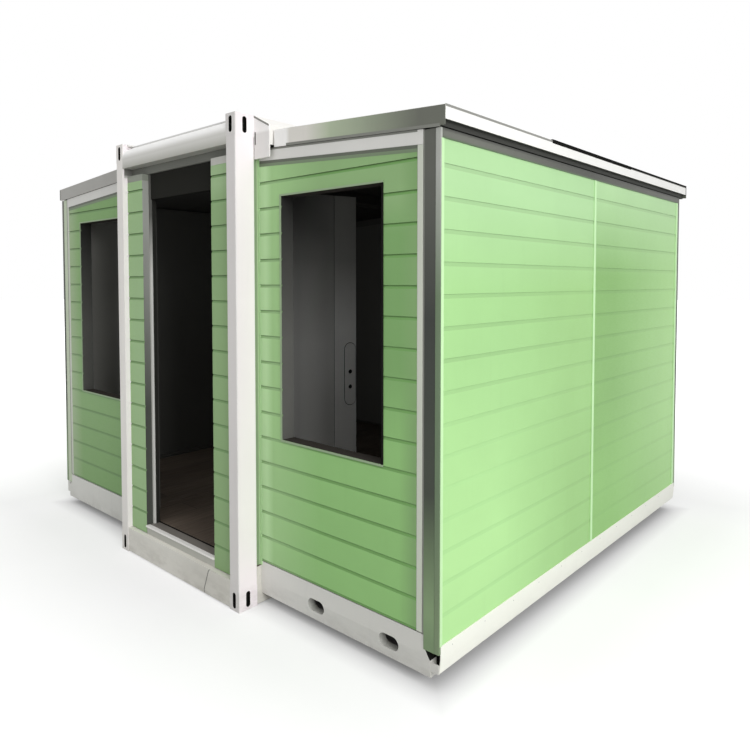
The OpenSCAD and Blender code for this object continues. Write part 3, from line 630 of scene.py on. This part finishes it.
piece = Piece("top_beam_bars")
for sy in (1, -1):
    piece.prism([(sy * y, z) for y, z in rounded_profile()], -POST_IN, POST_IN, TOP_WHITE, 0.0, axis="x")
    for sx in (1, -1):
        gusset = [(sx * (POST_IN - back), z) for back, z in
                  ((0, TOP_BEAM_Z1 - 0.002), (0, TOP_Z), (0.010, TOP_Z), (0.038, TOP_BEAM_Z1 - 0.002))]
        piece.prism(gusset, *span(sy, FRONT_Y + 0.029, FRONT_Y + 0.086), WHITE, 0.001)
piece.done("top_beams")

COVER_SET_IN = 0.003
piece = Piece("base_beam_bars")
for sy in (1, -1):
    y = span(sy, FRONT_Y + COVER_SET_IN, POST_BACK)
    piece.box((-POST_IN, y[0], BASE_Z0), (POST_IN, y[1], BASE_Z1), BASE_WHITE, 0.004)
    # a plate over the right end of the beam, flush with the posts
    plate = [(0.298, 0.027), (0.303, 0.010), (POST_IN, 0.010), (POST_IN, 0.146), (0.352, 0.146), (0.344, 0.142),
             (0.338, 0.134)]
    # a grey rim behind the plate darkens its seam: painted shade
    for grow, back, material in ((0.0, 0.0, BASE_WHITE), (0.009, 0.0018, SEAM_SHADE)):
        outline = [(x - grow if x < POST_IN else x, z) for x, z in plate]
        piece.prism(outline, *span(sy, FRONT_Y + back, FRONT_Y + COVER_SET_IN + 0.002), material, 0.001)
piece.done("base_beams")
piece = Piece("base_side_rails_skin")
piece.add(cad_copy("base_side_rails"), BASE_WHITE, 0.004)
piece.done("base_side_rails")

piece = Piece("jamb_posts")
for sx, sy in CORNERS:
    for x0, x1, y1, paint in ((JAMB_X0, JAMB_X1 - 0.020, JAMB_Y1, INSIDE_RAIL),
                              (JAMB_X1 - 0.021, JAMB_X1, JAMB_Y1 - 0.002, JAMB_GREEN)):
        x, y = span(sx, x0, x1), span(sy, POST_BACK, y1)
        piece.box((x[0], y[0], FLOOR_Z), (x[1], y[1], RAIL_Z0), paint, 0.001)
    # a seal fills the gap beside the swinging wall, green outside and black inside
    x = span(sx, JAMB_X1 - 0.001, END_X0 - PLAY)
    for near, far, paint in ((-0.0015, 0.006, END_GREENS[sx]), (0.005, 0.008, SEAL_AND_SHADE)):
        y = span(sy, WING_Y + near, WING_Y + far)
        piece.box((x[0], y[0], FLOOR_Z), (x[1], y[1], RAIL_Z0 - 0.002), paint, 0.0)
    for z in WALL_HINGES:
        piece.hinge((sx * WALL_PIN[0], sy * WALL_PIN[1], z), (0, 0, 1), False)
piece.done("wing_jambs")

for side, sx in SIDES:
    piece = Piece(f"hinge_rail_{side}_bar", sx=sx)
    lip = SIDE_X - 0.040
    piece.prism([(lip, RAIL_Z0), (RAIL_X1, RAIL_Z0), (RAIL_X1, TOP_Z - RAIL_DROP), (SIDE_X, TOP_Z), (SIDE_X, DECK_Z0),
                 (lip, DECK_Z0)], POST_BACK + 0.008, -POST_BACK - 0.008, WHITE, 0.003)
    # an angle-shaped skin of painted shade darkens the faces towards the room
    under, over, inner, outer = RAIL_Z0 - 0.001, RAIL_Z0 + 0.002, lip - 0.001, lip + 0.002
    end = RAIL_X1 - 0.002
    piece.prism([(inner, under), (end, under), (end, over), (outer, over), (outer, DECK_Z0), (inner, DECK_Z0)],
                POST_BACK + 0.010, -POST_BACK - 0.010, INSIDE_RAIL, 0.0)
    for y in ROOF_HINGES:
        piece.hinge((ROOF_PIN[0], y, ROOF_PIN[1]), (0, 1, 0), False)
    piece.done(f"hinge_rail_{side}")

piece = Piece("end_plates")
bm = cad_copy("hinge_end_plates")
for face in bm.faces:   # the slots' inner faces are painted dark grey: painted shade
    middle = face.calc_center_median()
    in_slot = SIDE_X + 0.002 < abs(middle.x) < RAIL_X1 - 0.05 and TOP_Z - 0.150 < middle.z < TOP_Z - 0.080
    face.material_index = piece.index(SEAM_SHADE if in_slot and abs(face.normal.y) < 0.5 else PLATE_WHITE)
piece.add(bm, None, 0.0012)
for sx, sy in CORNERS:   # a shaded rim under the sloping edge
    rim_z = TOP_Z - RAIL_DROP
    rim = [(sx * SIDE_X, TOP_Z - 0.010), (sx * RAIL_X1, rim_z - 0.010), (sx * RAIL_X1, rim_z), (sx * SIDE_X, TOP_Z)]
    piece.prism(rim, *span(sy, POST_BACK, POST_BACK - 0.0007), EDGE_GREY, 0.0)
piece.done("hinge_end_plates")

# The module's roof deck has low ribs across it
piece = Piece("module_deck")
piece.box((-SIDE_X, POST_BACK, DECK_Z0), (SIDE_X, -POST_BACK, DECK_Z1 - 0.014), ROOF_WHITE)
ribs = 15
for k in range(ribs):
    y = POST_BACK + 0.09 + k * (-2 * POST_BACK - 0.18) / (ribs - 1)
    low, high = DECK_Z1 - 0.015, DECK_Z1
    piece.prism([(y - 0.055, low), (y - 0.035, high), (y + 0.035, high), (y + 0.055, low)],
                -POST_IN + 0.03, POST_IN - 0.03, ROOF_WHITE, axis="x")
margin = 0.004
# the deck's underside is painted dark: painted shade
piece.box((-SIDE_X + margin, POST_BACK + margin, DECK_Z0 - 0.001),
          (SIDE_X - margin, -POST_BACK - margin, DECK_Z0 + 0.01), CEILING, 0.0)
piece.done("module_roof")


def plank_floor(piece, x0, x1, y0, y1, z0, z1, width=0.18):
    """Boards side by side, running back."""
    count = max(1, round((x1 - x0) / width))
    w = (x1 - x0) / count
    for k in range(count):
        piece.box((x0 + k * w + 0.0004, y0, z0), (x0 + (k + 1) * w - 0.0004, y1, z1), BOARDS, 0.0012)


piece = Piece("module_boards")
BOARD_T = 0.005
plank_floor(piece, -SIDE_X, SIDE_X, POST_BACK, -POST_BACK, FLOOR_Z - BOARD_T, FLOOR_Z)
piece.box((-SIDE_X, POST_BACK, BASE_Z1), (SIDE_X, -POST_BACK, FLOOR_Z - BOARD_T), BASE_WHITE)
# a black skin on the floor's front in the doorway: painted shade
piece.box((-DOOR_X, POST_BACK - SKIN, BASE_Z1), (DOOR_X, POST_BACK + 0.003, FLOOR_Z - BOARD_T + 0.0003), SEAL_AND_SHADE, 0.0)
piece.done("module_floor", slot="floor_board")

# ---- doorway ----
DOOR_LINE = 2.200 - 16 * DOOR_LAP[0]   # height of the lowest groove
piece = Piece("door_side_walls")
for sx in (1, -1):
    siding(piece, [(*span(sx, DOOR_X, POST_IN), BASE_Z1, STRIP_TOP)], DOOR_LINE, DOOR_LAP,
           lambda u, d, z: (u, MODULE_WALL_Y + d, z), DOOR_GREENS[sx], DOOR_GROOVE, DOORWAY_EDGE, INSIDE)
piece.done("front_walls", slot="green_panel")

piece = Piece("head_rail")
for sx in (1, -1):
    x = span(sx, DOOR_X, POST_IN)
    # the head rails are painted grey, darker on the left: painted shade
    piece.box((x[0], MODULE_WALL_Y, STRIP_TOP), (x[1], MODULE_BACK, HEADER_Z0), HEAD_GREY)
    # the posts are in shadow in the corner under the beam
    x = span(sx, POST_IN, POST_IN - 0.0008)
    piece.box((x[0], FRONT_Y + 0.010, HEADER_Z0 - 0.010), (x[1], MODULE_WALL_Y, TOP_BEAM_Z0), CORNER_SHADE, 0.0)
    piece.box((x[0], MODULE_WALL_Y, HEADER_Z0), (x[1], POST_BACK, TOP_BEAM_Z0), CORNER_SHADE, 0.0)
# the header across the doorway is painted dark grey: painted shade
piece.box((-POST_IN, MODULE_BACK - 0.045, HEADER_Z0), (POST_IN, MODULE_BACK, TOP_BEAM_Z0), HEADER)
piece.done("front_head_rail")

piece = Piece("door_surround")
lining_y = MODULE_BACK - 0.035
# the linings darken at the top, and the transom and the jamb backs behind them are near black: painted shade
for sx in (1, -1):
    x = span(sx, DOOR_X, LINING_X)
    piece.box((x[0], lining_y, DOOR_Z0), (x[1], lining_y + 0.012, HEADER_Z0), LINING)
    x = span(sx, DOOR_X, LINING_X + 0.001)
    piece.box((x[0], lining_y + 0.011, DOOR_Z0), (x[1], MODULE_BACK, HEADER_Z0), TRANSOM, 0.001)
piece.box((-LINING_X, lining_y + 0.004, DOOR_HEAD), (LINING_X, MODULE_BACK, HEADER_Z0), TRANSOM)
piece.box((DOOR_X - 0.004, MODULE_BACK, LEAF_Z0), (DOOR_PIN[0] + 0.002, MODULE_BACK + 0.004, LEAF_Z1),
          STEEL, 0.001)
for z in DOOR_HINGES:
    piece.hinge((*DOOR_PIN, z), (0, 0, 1), False)
piece.done("door_frame")

piece = Piece("threshold")
nosing_back = MODULE_WALL_Y + 0.02
piece.box((-DOOR_X, MODULE_WALL_Y + 0.001, BASE_Z1), (DOOR_X, nosing_back, DOOR_Z0 - 0.002), STEP_GREY)
piece.box((-DOOR_X, nosing_back, BASE_Z1), (DOOR_X, MODULE_BACK, DOOR_Z0), SILL)
piece.box((-DOOR_X, MODULE_WALL_Y - 0.008, DOOR_Z0 - 0.010), (DOOR_X, nosing_back, DOOR_Z0), WHITE, 0.004)
piece.done("door_threshold")

open_door = Matrix.Translation((*DOOR_PIN, 0)) @ Matrix.Rotation(DOOR_OPEN, 4, "Z")
piece = Piece("door_panel", "door")
FOLD_X, EDGE = -0.600, 0.003
LEAF_MID = (LEAF_Y0 + LEAF_Y1) / 2
# the outer half has the plain paint; the inner half carries the painted light and shade
for y0, y1, main, fold in ((LEAF_Y0, LEAF_MID, DOOR_PAINT, DOOR_PAINT),
                           (LEAF_MID - 0.001, LEAF_Y1, DOOR_BACK, FOLD_BACK)):
    piece.box((FOLD_X, y0, LEAF_Z0), (LEAF_X1, y1, LEAF_Z1), main, 0.002, open_door)
    piece.box((LEAF_X0, y0, LEAF_Z0), (FOLD_X - EDGE, y1, LEAF_Z1), fold, 0.002, open_door)
piece.box((FOLD_X - EDGE, LEAF_Y0 + EDGE, LEAF_Z0), (FOLD_X, LEAF_Y1 - EDGE, LEAF_Z1), SEAL_AND_SHADE, 0.0, open_door)
for z in DOOR_HINGES:
    piece.hinge((0, 0, z), (0, 0, 1), True, open_door)
    piece.box((-FLAP_W, LEAF_Y1 - 0.001, z - FLAP_HALF), (0.0, LEAF_Y1 + 0.003, z + FLAP_HALF), STEEL, 0.001,
              open_door)
piece.done("door_leaf", slot="door_paint")

piece = Piece("lock_plate_skin", "door")
piece.add(cad_copy("door_lock_plate"), LOCK_GREY, 0.001)
LOCK_R, LOCK_HALF = 0.035, 0.1825
r = LOCK_R + 0.003
shadow = [(LOCK_X + s * r * cos(a), LOCK_Z + s * (LOCK_HALF - LOCK_R + r * sin(a)))
          for s in (1, -1) for a in [radians(d) for d in range(0, 181, 15)]]
for y0, y1 in ((LEAF_Y0 - 0.0015, LEAF_Y0), (LEAF_Y1, LEAF_Y1 + 0.0015)):
    piece.prism(shadow, y0, y1, SEAL_AND_SHADE, 0.0, open_door)
piece.done("door_lock_plate", slot="lock_steel")

piece = Piece("rear_boards")
siding(piece, [(-POST_IN, POST_IN, BASE_Z1, TOP_BEAM_Z0)], DOOR_LINE, DOOR_LAP,
       lambda u, d, z: (u, -MODULE_WALL_Y - d, z), REAR_GREEN, REAR_GROOVE, REVEAL, INSIDE)
piece.done("rear_wall", slot="green_panel")

# ---- wings ----
END_LINE = 0.2385   # height of the lowest groove
for side, sx in SIDES:
    right = sx > 0
    # End beams with oval holes; their faces have a soft crease along the middle
    node = f"wing_end_beams_{side}"
    bm = cad_copy(node)
    bmesh.ops.bisect_plane(bm, geom=bm.verts[:] + bm.edges[:] + bm.faces[:], plane_co=(0, 0, BEAM_CREASE),
                           plane_no=(0, 0, 1))
    for v in bm.verts:
        if abs(v.co.y) > -WING_Y - 1e-4:
            lean = (0.07 if v.co.z < BEAM_CREASE else 0.05) if right else 0.02
            v.co.y -= copysign(lean * abs(v.co.z - BEAM_CREASE), v.co.y)
    piece = Piece(f"end_beams_{side}")
    bm.normal_update()
    for face in bm.faces:   # painted shade: black in the chamfer under the side wall, grey in the holes, dark on the faces inside
        middle, normal = face.calc_center_median(), face.normal
        chamfer = middle.x * sx > WALL_IN_X and normal.z > 0.3 and normal.x * sx > 0.3
        in_hole = abs(normal.y) < 0.3 and BEAM_Z0 + 0.02 < middle.z < BEAM_Z1 - 0.02
        in_hole = in_hole and SIDE_X + 0.1 < middle.x * sx < WALL_IN_X
        inward = normal.y * middle.y < -0.5
        face.material_index = piece.index(SEAL_AND_SHADE if chamfer else HOLE_GREY if in_hole else INSIDE_RAIL if inward
                                          else BEAM_WHITE)
    piece.add(bm, None, 0.002)
    piece.done(node)

    piece = Piece(f"side_beams_{side}", sx=sx)
    y0 = WING_Y + BEAM_T
    # the beams under the wing are painted dark and a black block fills under the ledge: painted shade
    piece.box((SIDE_X, y0, BEAM_Z0), (SIDE_X + BEAM_T, -y0, FLOOR_Z), INSIDE_RAIL, 0.003)
    piece.box((WALL_IN_X - BEAM_T, y0, BEAM_Z0), (WALL_IN_X, -y0, BEAM_Z1), INSIDE_RAIL)
    piece.box((WALL_IN_X - 0.001, y0, BEAM_Z0), (LEDGE_X1, -y0, LEDGE_Z), SEAL_AND_SHADE)
    piece.done(f"wing_side_beams_{side}")

    piece = Piece(f"wing_boards_{side}", sx=sx)
    plank_floor(piece, SIDE_X + BEAM_T, WALL_IN_X - BEAM_T, y0, -y0, FLOOR_Z - 0.025, FLOOR_Z)
    piece.box((SIDE_X + 0.002, y0, FLOOR_Z - 0.002), (SIDE_X + BEAM_T, -y0, FLOOR_Z + 0.001), BOARDS, 0.0008)
    piece.done(f"wing_floor_{side}", slot="floor_board")

    # Side wall: two grooved panels that meet in the middle
    y0 = WING_Y + CHANNEL_T
    piece = Piece(f"side_boards_{side}", sx=sx)
    for half, u0, u1 in ((-1, y0, -0.001), (1, 0.001, -y0)):
        siding(piece, [(u0, u1, LEDGE_Z, SIDE_TOP)], BAND_Z1, SIDE_LAP, lambda u, d, z: (WALL_X - d, u, z),
               SIDE_GREENS[half], SIDE_GROOVES[half], REVEAL, INSIDE)
    piece.done(f"side_wall_{side}", slot="green_panel")

    piece = Piece(f"side_trim_{side}", sx=sx)
    x1, rail_z = WALL_X + TRIM_T, SIDE_TOP - SIDE_RAIL_H
    bead_x = WALL_X - (0.025 if right else 0.030)
    for sy, edge0, edge1 in ((1, WING_Y + 0.005, y0 + 0.010), (-1, y0 + 0.020, y0 + 0.052)):
        main, bead = CHANNEL if right else LEFT_CHANNEL, BEAD if right and sy > 0 else CHANNEL
        y = span(sy, WING_Y, y0)
        piece.box((WALL_IN_X, y[0], LEDGE_Z), (bead_x + 0.004, y[1], SIDE_TOP), main, 0.0)
        piece.box((bead_x, y[0], LEDGE_Z), (x1 - 0.001, y[1], SIDE_TOP), bead, 0.003)
        y = span(sy, WING_Y + 0.001, WING_Y + 0.005)   # a seal beside the swinging wall
        piece.box((END_X1 + PLAY, y[0], WALL_BOTTOM), (WALL_IN_X + 0.001, y[1], SIDE_TOP - 0.002), EDGE_SHADE, 0.0)
        y = span(sy, edge0, edge1)
        piece.box((WALL_X, y[0], BAND_Z1), (x1, y[1], rail_z), STRIP_GREEN, 0.001)
        if sy < 0:   # the dark corner wraps onto the face at the rear
            piece.box((WALL_X, y[1] - 0.0005, BAND_Z1), (x1, -y0 + 0.001, rail_z), CHANNEL, 0.0)
    piece.box((WALL_X, y0, rail_z), (x1, -y0, SIDE_TOP), RAIL_IN_SHADE, 0.0015)
    piece.box((WALL_X, -STRIP_W / 3, BAND_Z1), (x1, STRIP_W / 3, rail_z), STRIP_GREEN, 0.0015)
    piece.prism([(WALL_X, BAND_Z1), (x1, BAND_Z1), (x1, BAND_CREASE), (x1 - 0.007, BAND_Z0), (WALL_X - 0.007, BAND_Z0),
                 (WALL_X, BAND_CREASE)], y0, -y0, BAND_PAINT, 0.001)
    for k in range(12):
        piece.screw((x1, y0 + 0.08 + k * (-2 * y0 - 0.16) / 11, BAND_Z1 - 0.022), (1, 0, 0), r=0.003)
    # a plate closes the end of the band; on the right it leaves the upper part open
    plate_top = LEDGE_Z - (0.045 if right else 0.001)
    piece.box((LEDGE_X1, WING_Y + 0.004, BAND_Z0), (WALL_X - 0.001, y0 - 0.001, plate_top), BEAM_WHITE, 0.001)
    piece.done(f"side_wall_trim_{side}", slot="trim_metal")

    # End walls, which swing: boards, top rail, outer stile, and a window at the front
    for end, sy in ENDS:
        body = f"{end}_{side}_wall"
        piece = Piece(f"{end}_boards_{side}", body, sx, sy)
        top = wall_z(END_X0) - RAIL_H
        spans = [(END_X0, STILE_X0, WALL_BOTTOM, top)]
        if end == "front":
            spans = around_hole(*spans[0], (WINDOW_X0, WINDOW_X1, WINDOW_Z0, WINDOW_Z1))
        siding(piece, spans, END_LINE, END_LAP, lambda u, d, z: (u, WING_Y + d, z), END_GREENS[sx],
               END_GROOVES[sx], REVEAL, INSIDE, slope=(END_X0, top, SLOPE))
        piece.done(f"{end}_end_wall_{side}", slot="green_panel")

        piece = Piece(f"{end}_frame_{side}", body, sx, sy)
        y1, skin = WING_Y + WALL_T, 0.004
        rail = strip(END_X0, END_X1, -RAIL_H, 0.0, wall_z)
        stile = [(STILE_X0, WALL_BOTTOM), (END_X1, WALL_BOTTOM), (END_X1, wall_z(END_X1) - RAIL_H),
                 (STILE_X0, wall_z(STILE_X0) - RAIL_H)]
        for outline, paint in ((rail, FRAME_WHITE), (stile, STILE_WHITE)):
            piece.prism(outline, WING_Y, y1 - skin, paint, 0.0025)
            piece.prism(outline, y1 - skin - 0.001, y1, INSIDE_RAIL, 0.0015)
        # shadows below the top rail, and on the right along its upper edge
        shadows = [(RAIL_H, RAIL_H + 0.014, RAIL_SHADOW), (RAIL_H + 0.014, RAIL_H + 0.028, RAIL_SHADE)]
        for top, foot, paint in [(0.0, 0.009, EDGE_SHADE)] * right + shadows:
            piece.prism(strip(END_X0 + 0.002, STILE_X0, -foot, -top, wall_z), WING_Y - SKIN, WING_Y + 0.002,
                        paint, 0.0)
        for z in WALL_HINGES:
            piece.hinge((*WALL_PIN, z), (0, 0, 1), True)
            piece.box((WALL_PIN[0], y1, z - FLAP_HALF), (WALL_PIN[0] + FLAP_W, y1 + 0.004, z + FLAP_HALF), STEEL, 0.001)
        if end == "front":
            w, a, b, c, d = 0.009, WINDOW_X0, WINDOW_X1, WINDOW_Z0, WINDOW_Z1
            for low, high in (((a - w, c - w), (a, d + w)), ((b, c), (b + w, d)),
                              ((a, c - w), (b + w, c)), ((a, d), (b + w, d + w))):
                # on the right wing the trim along the window's right edge is black: painted shade
                paint = SEAL_AND_SHADE if right and low[0] == b else TRIM_GREEN
                piece.box((low[0], WING_Y - TRIM_T, low[1]), (high[0], WING_Y, high[1]), paint, 0.0008)
        piece.done(f"{end}_end_frame_{side}")

    # Wing roof
    body = f"roof_{side}"
    ya, yb = ROOF_Y0 + TRIM_T, ROOF_Y1 - TRIM_T
    piece = Piece(f"roof_deck_{side}", body, sx)
    a, b = PROFILE_X1, WALL_X
    # the underside is painted dark: painted shade
    for low, high, material in ((0.004, ROOF_T, ROOF_WHITE), (0.0, 0.0045, CEILING)):
        piece.prism(strip(a, b, low, high), ya, yb, material, 0.001)
    count = 6
    for k in range(1, count):   # standing seams run down the slope
        y = ya + (yb - ya) * k / count
        seam = strip(a + 0.01, b - 0.02, ROOF_T - 0.001, ROOF_T + 0.010)
        seam[2] = (b - 0.03, roof_z(b - 0.03, ROOF_T) + 0.010)
        piece.prism(seam, y - 0.011, y + 0.011, ROOF_WHITE, 0.003)
        # dark strips under the seams: painted shade
        piece.prism(strip(a + 0.01, b - 0.06, -0.001, 0.002), y - 0.012, y + 0.012, CEILING, 0.0005)
    piece.done(f"roof_panel_{side}")

    piece = Piece(f"roof_hinge_edge_{side}", body, sx)
    a, b = ROOF_X0, PROFILE_X1
    piece.prism(strip(a, b, 0.0, ROOF_T), ROOF_Y0, ROOF_Y1, PROFILE_WHITE, 0.003)
    # dark skins of painted shade underneath and towards the module
    piece.prism(set_in(strip(a, b, -SKIN, 0.003)), ya, yb, CEILING, 0.0)
    piece.box((a - SKIN, ya, roof_z(a)), (a + 0.002, yb, roof_z(a) + 0.014), CEILING, 0.0)
    lip = set_in(strip(a, b + 0.02, -0.005, 0.003))   # hangs over the gap above the end wall
    for sy, edge in ((1, ROOF_Y0), (-1, ROOF_Y1)):
        piece.prism(lip, edge - sy * 0.0004, edge + sy * LIP_T, PROFILE_WHITE, 0.0)
    for y in ROOF_HINGES:
        piece.hinge((ROOF_PIN[0], y, ROOF_PIN[1]), (0, 1, 0), True)
        x, z = ROOF_PIN
        piece.box((x, y - FLAP_HALF, z - 0.012), (x + FLAP_W, y + FLAP_HALF, z - 0.007), STEEL, 0.001)
    piece.done(f"roof_hinge_profile_{side}")

    piece = Piece(f"roof_edge_{side}", body, sx)
    a, b = PROFILE_X1, ROOF_X1
    for sy, edge in ((1, ROOF_Y0), (-1, ROOF_Y1)):
        y = sorted((edge, edge + sy * TRIM_T))
        piece.prism(strip(a, b, 0.0, ROOF_T), *y, FASCIA, 0.0015)
        # the foot hangs over the gap, in painted shade on the right; the left one has a cap of painted shade on its end
        foot = (a + 0.02, WALL_X, -0.005, 0.007, EDGE_SHADE if right else FASCIA)
        cap = (b - 0.014, b, 0.0, ROOF_T - 0.004, EDGE_SHADE)
        for x0, x1, low, high, paint in (foot,) if right else (foot, cap):
            piece.prism(strip(x0, x1, low, high), edge - sy * SKIN, edge + sy * LIP_T, paint, 0.0)
        y = sorted((edge, edge + sy * 0.030))
        piece.prism(strip(a, b, ROOF_T - 0.002, ROOF_T), *y, EAVE, 0.0008)
    top = roof_z(b, ROOF_T)
    t = 0.003
    piece.box((b - t, ya, top - EAVE_H), (b, yb, top), EAVE, 0.0015)
    piece.box((b - 0.006, ya + 0.001, top - 0.007), (b + SKIN, yb - 0.001, top + 0.003), EDGE_GREY, 0.001)
    piece.box((WALL_X, ya, top - EAVE_H - 0.0005), (b - 0.001, yb, top - EAVE_H + t), EAVE_SHADE, 0.001)
    piece.prism(strip(WALL_X, b, ROOF_T - t, ROOF_T), ya, yb, EAVE, 0.001)
    piece.box((WALL_X - 0.001, ya, roof_z(WALL_X)), (WALL_X + 0.002, yb, top - EAVE_H + 0.001), EAVE_SHADE, 0.0)
    piece.box((WALL_X, ya, top - EAVE_H + t), (b - t, ya + t, top - t), FASCIA, 0.0)
    # a black gasket on the rear part of the eave's edge, and its end cap
    for y0, y1, low in ((-0.56, 0.45, top - 0.010), (0.45, yb, top - 0.004)):
        piece.box((b - 0.010, y0, low), (b + 0.0012, y1, top + 0.009), SEAL_AND_SHADE, 0.001)
    piece.box((b - 0.012, yb - 0.010, top - EAVE_H), (b + 0.001, yb, top + 0.007), SEAL_AND_SHADE, 0.001)
    piece.done(f"roof_fascia_{side}", slot="bright_metal")


# ---- stage, light and camera ----
FLOOR_LIFT = 0.42   # the floor's own glow close to the house, for the camera


def seen_ray(n):
    """1 for the rays of the camera and of reflections and glass, else 0."""
    path = n.add("LightPath").outputs
    total = path["Is Camera Ray"]
    for kind in ("Is Glossy Ray", "Is Transmission Ray"):
        total = n.add("Math", {0: total, 1: path[kind]}, operation="ADD", use_clamp=True).outputs[0]
    return total


def floor_stage():
    """A pale floor that keeps the object's shadow. The camera sees it whiter away from the house."""
    n = Nodes(bpy.data.materials.new("studio_floor"))
    n.tree.nodes.remove(n.shader)
    grain = n.range(n.noise((1, 1, 1), 0.8, 3), 0.3, 0.7, 0.0, 1.0)
    diffuse = n.add("BsdfDiffuse", {"Color": n.mix(grain, (0.54, 0.54, 0.54, 1), (0.57, 0.57, 0.57, 1))})
    where = n.place()
    away = n.calc("MAXIMUM", *(n.calc("SUBTRACT", n.calc("ABSOLUTE", where[axis]), half)
                               for axis, half in (("X", WALL_X), ("Y", -WING_Y))))
    near = n.range(away, -0.15, 0.10, 0.0, FLOOR_LIFT)
    far = n.range(away, 0.3, 4.0, 0.0, 1.0 - FLOOR_LIFT)
    seen = n.calc("MULTIPLY", n.calc("ADD", near, far), seen_ray(n))
    both = n.add("AddShader", {0: diffuse.outputs[0], 1: n.add("Emission", {"Strength": seen}).outputs[0]})
    n.tree.links.new(both.outputs[0], n.tree.nodes["Material Output"].inputs["Surface"])
    bpy.ops.mesh.primitive_plane_add(size=120, location=(0, 0, -0.001))
    ground = bpy.context.object
    ground.name = "studio_ground"
    ground.data.materials.append(n.owner)


def sky(seen, level):
    """A plain world: the camera sees one level of white, and the light has another."""
    scene.world = bpy.data.worlds.new("studio")
    n = Nodes(scene.world)
    background = n.tree.nodes["Background"]
    n.tree.links.new(n.range(seen_ray(n), 0.0, 1.0, level, seen), background.inputs["Strength"])
    background.inputs["Color"].default_value = (1.0, 1.0, 1.0, 1.0)


def lamp(name, kind, at, target, power, **settings):
    data = bpy.data.lights.new(name, kind)
    data.energy = power
    for key, value in settings.items():
        setattr(data, key, value)
    light = add_object(name, data)
    light.location = at
    light.rotation_euler = (Vector(target) - Vector(at)).to_track_quat("-Z", "Y").to_euler()


floor_stage()
sky(1.0, 0.30)
lamp("key", "AREA", (7.6, -3.4, 3.2), (1.0, -0.4, 1.2), 325, shape="DISK", size=3.4)
lamp("fill", "AREA", (-1.6, -5.6, 2.3), (-0.4, -1.5, 1.3), 22, shape="DISK", size=3.0)
lamp("overcast", "SUN", (0.8, -0.6, 6.0), (0.0, 0.0, 0.0), 0.50 * pi, angle=radians(80))

CAMERA_AT, CAMERA_AZIMUTH, CAMERA_PITCH = (3.224, -3.488, 1.654), 41.9, -2.3
FOCAL_SHARE = 648.6 / 750       # focal length as a share of the picture's width
RISE = -67 / 750                # the horizon lies above the middle of the picture
data = bpy.data.cameras.new("camera")
data.sensor_width = 36
data.lens = 36 * FOCAL_SHARE
data.shift_y = RISE
camera = add_object("camera", data)
camera.location = CAMERA_AT
camera.rotation_euler = (radians(90 + CAMERA_PITCH), 0, radians(CAMERA_AZIMUTH))
bpy.context.scene.camera = camera
bpy.context.scene.view_settings.view_transform = "Standard"
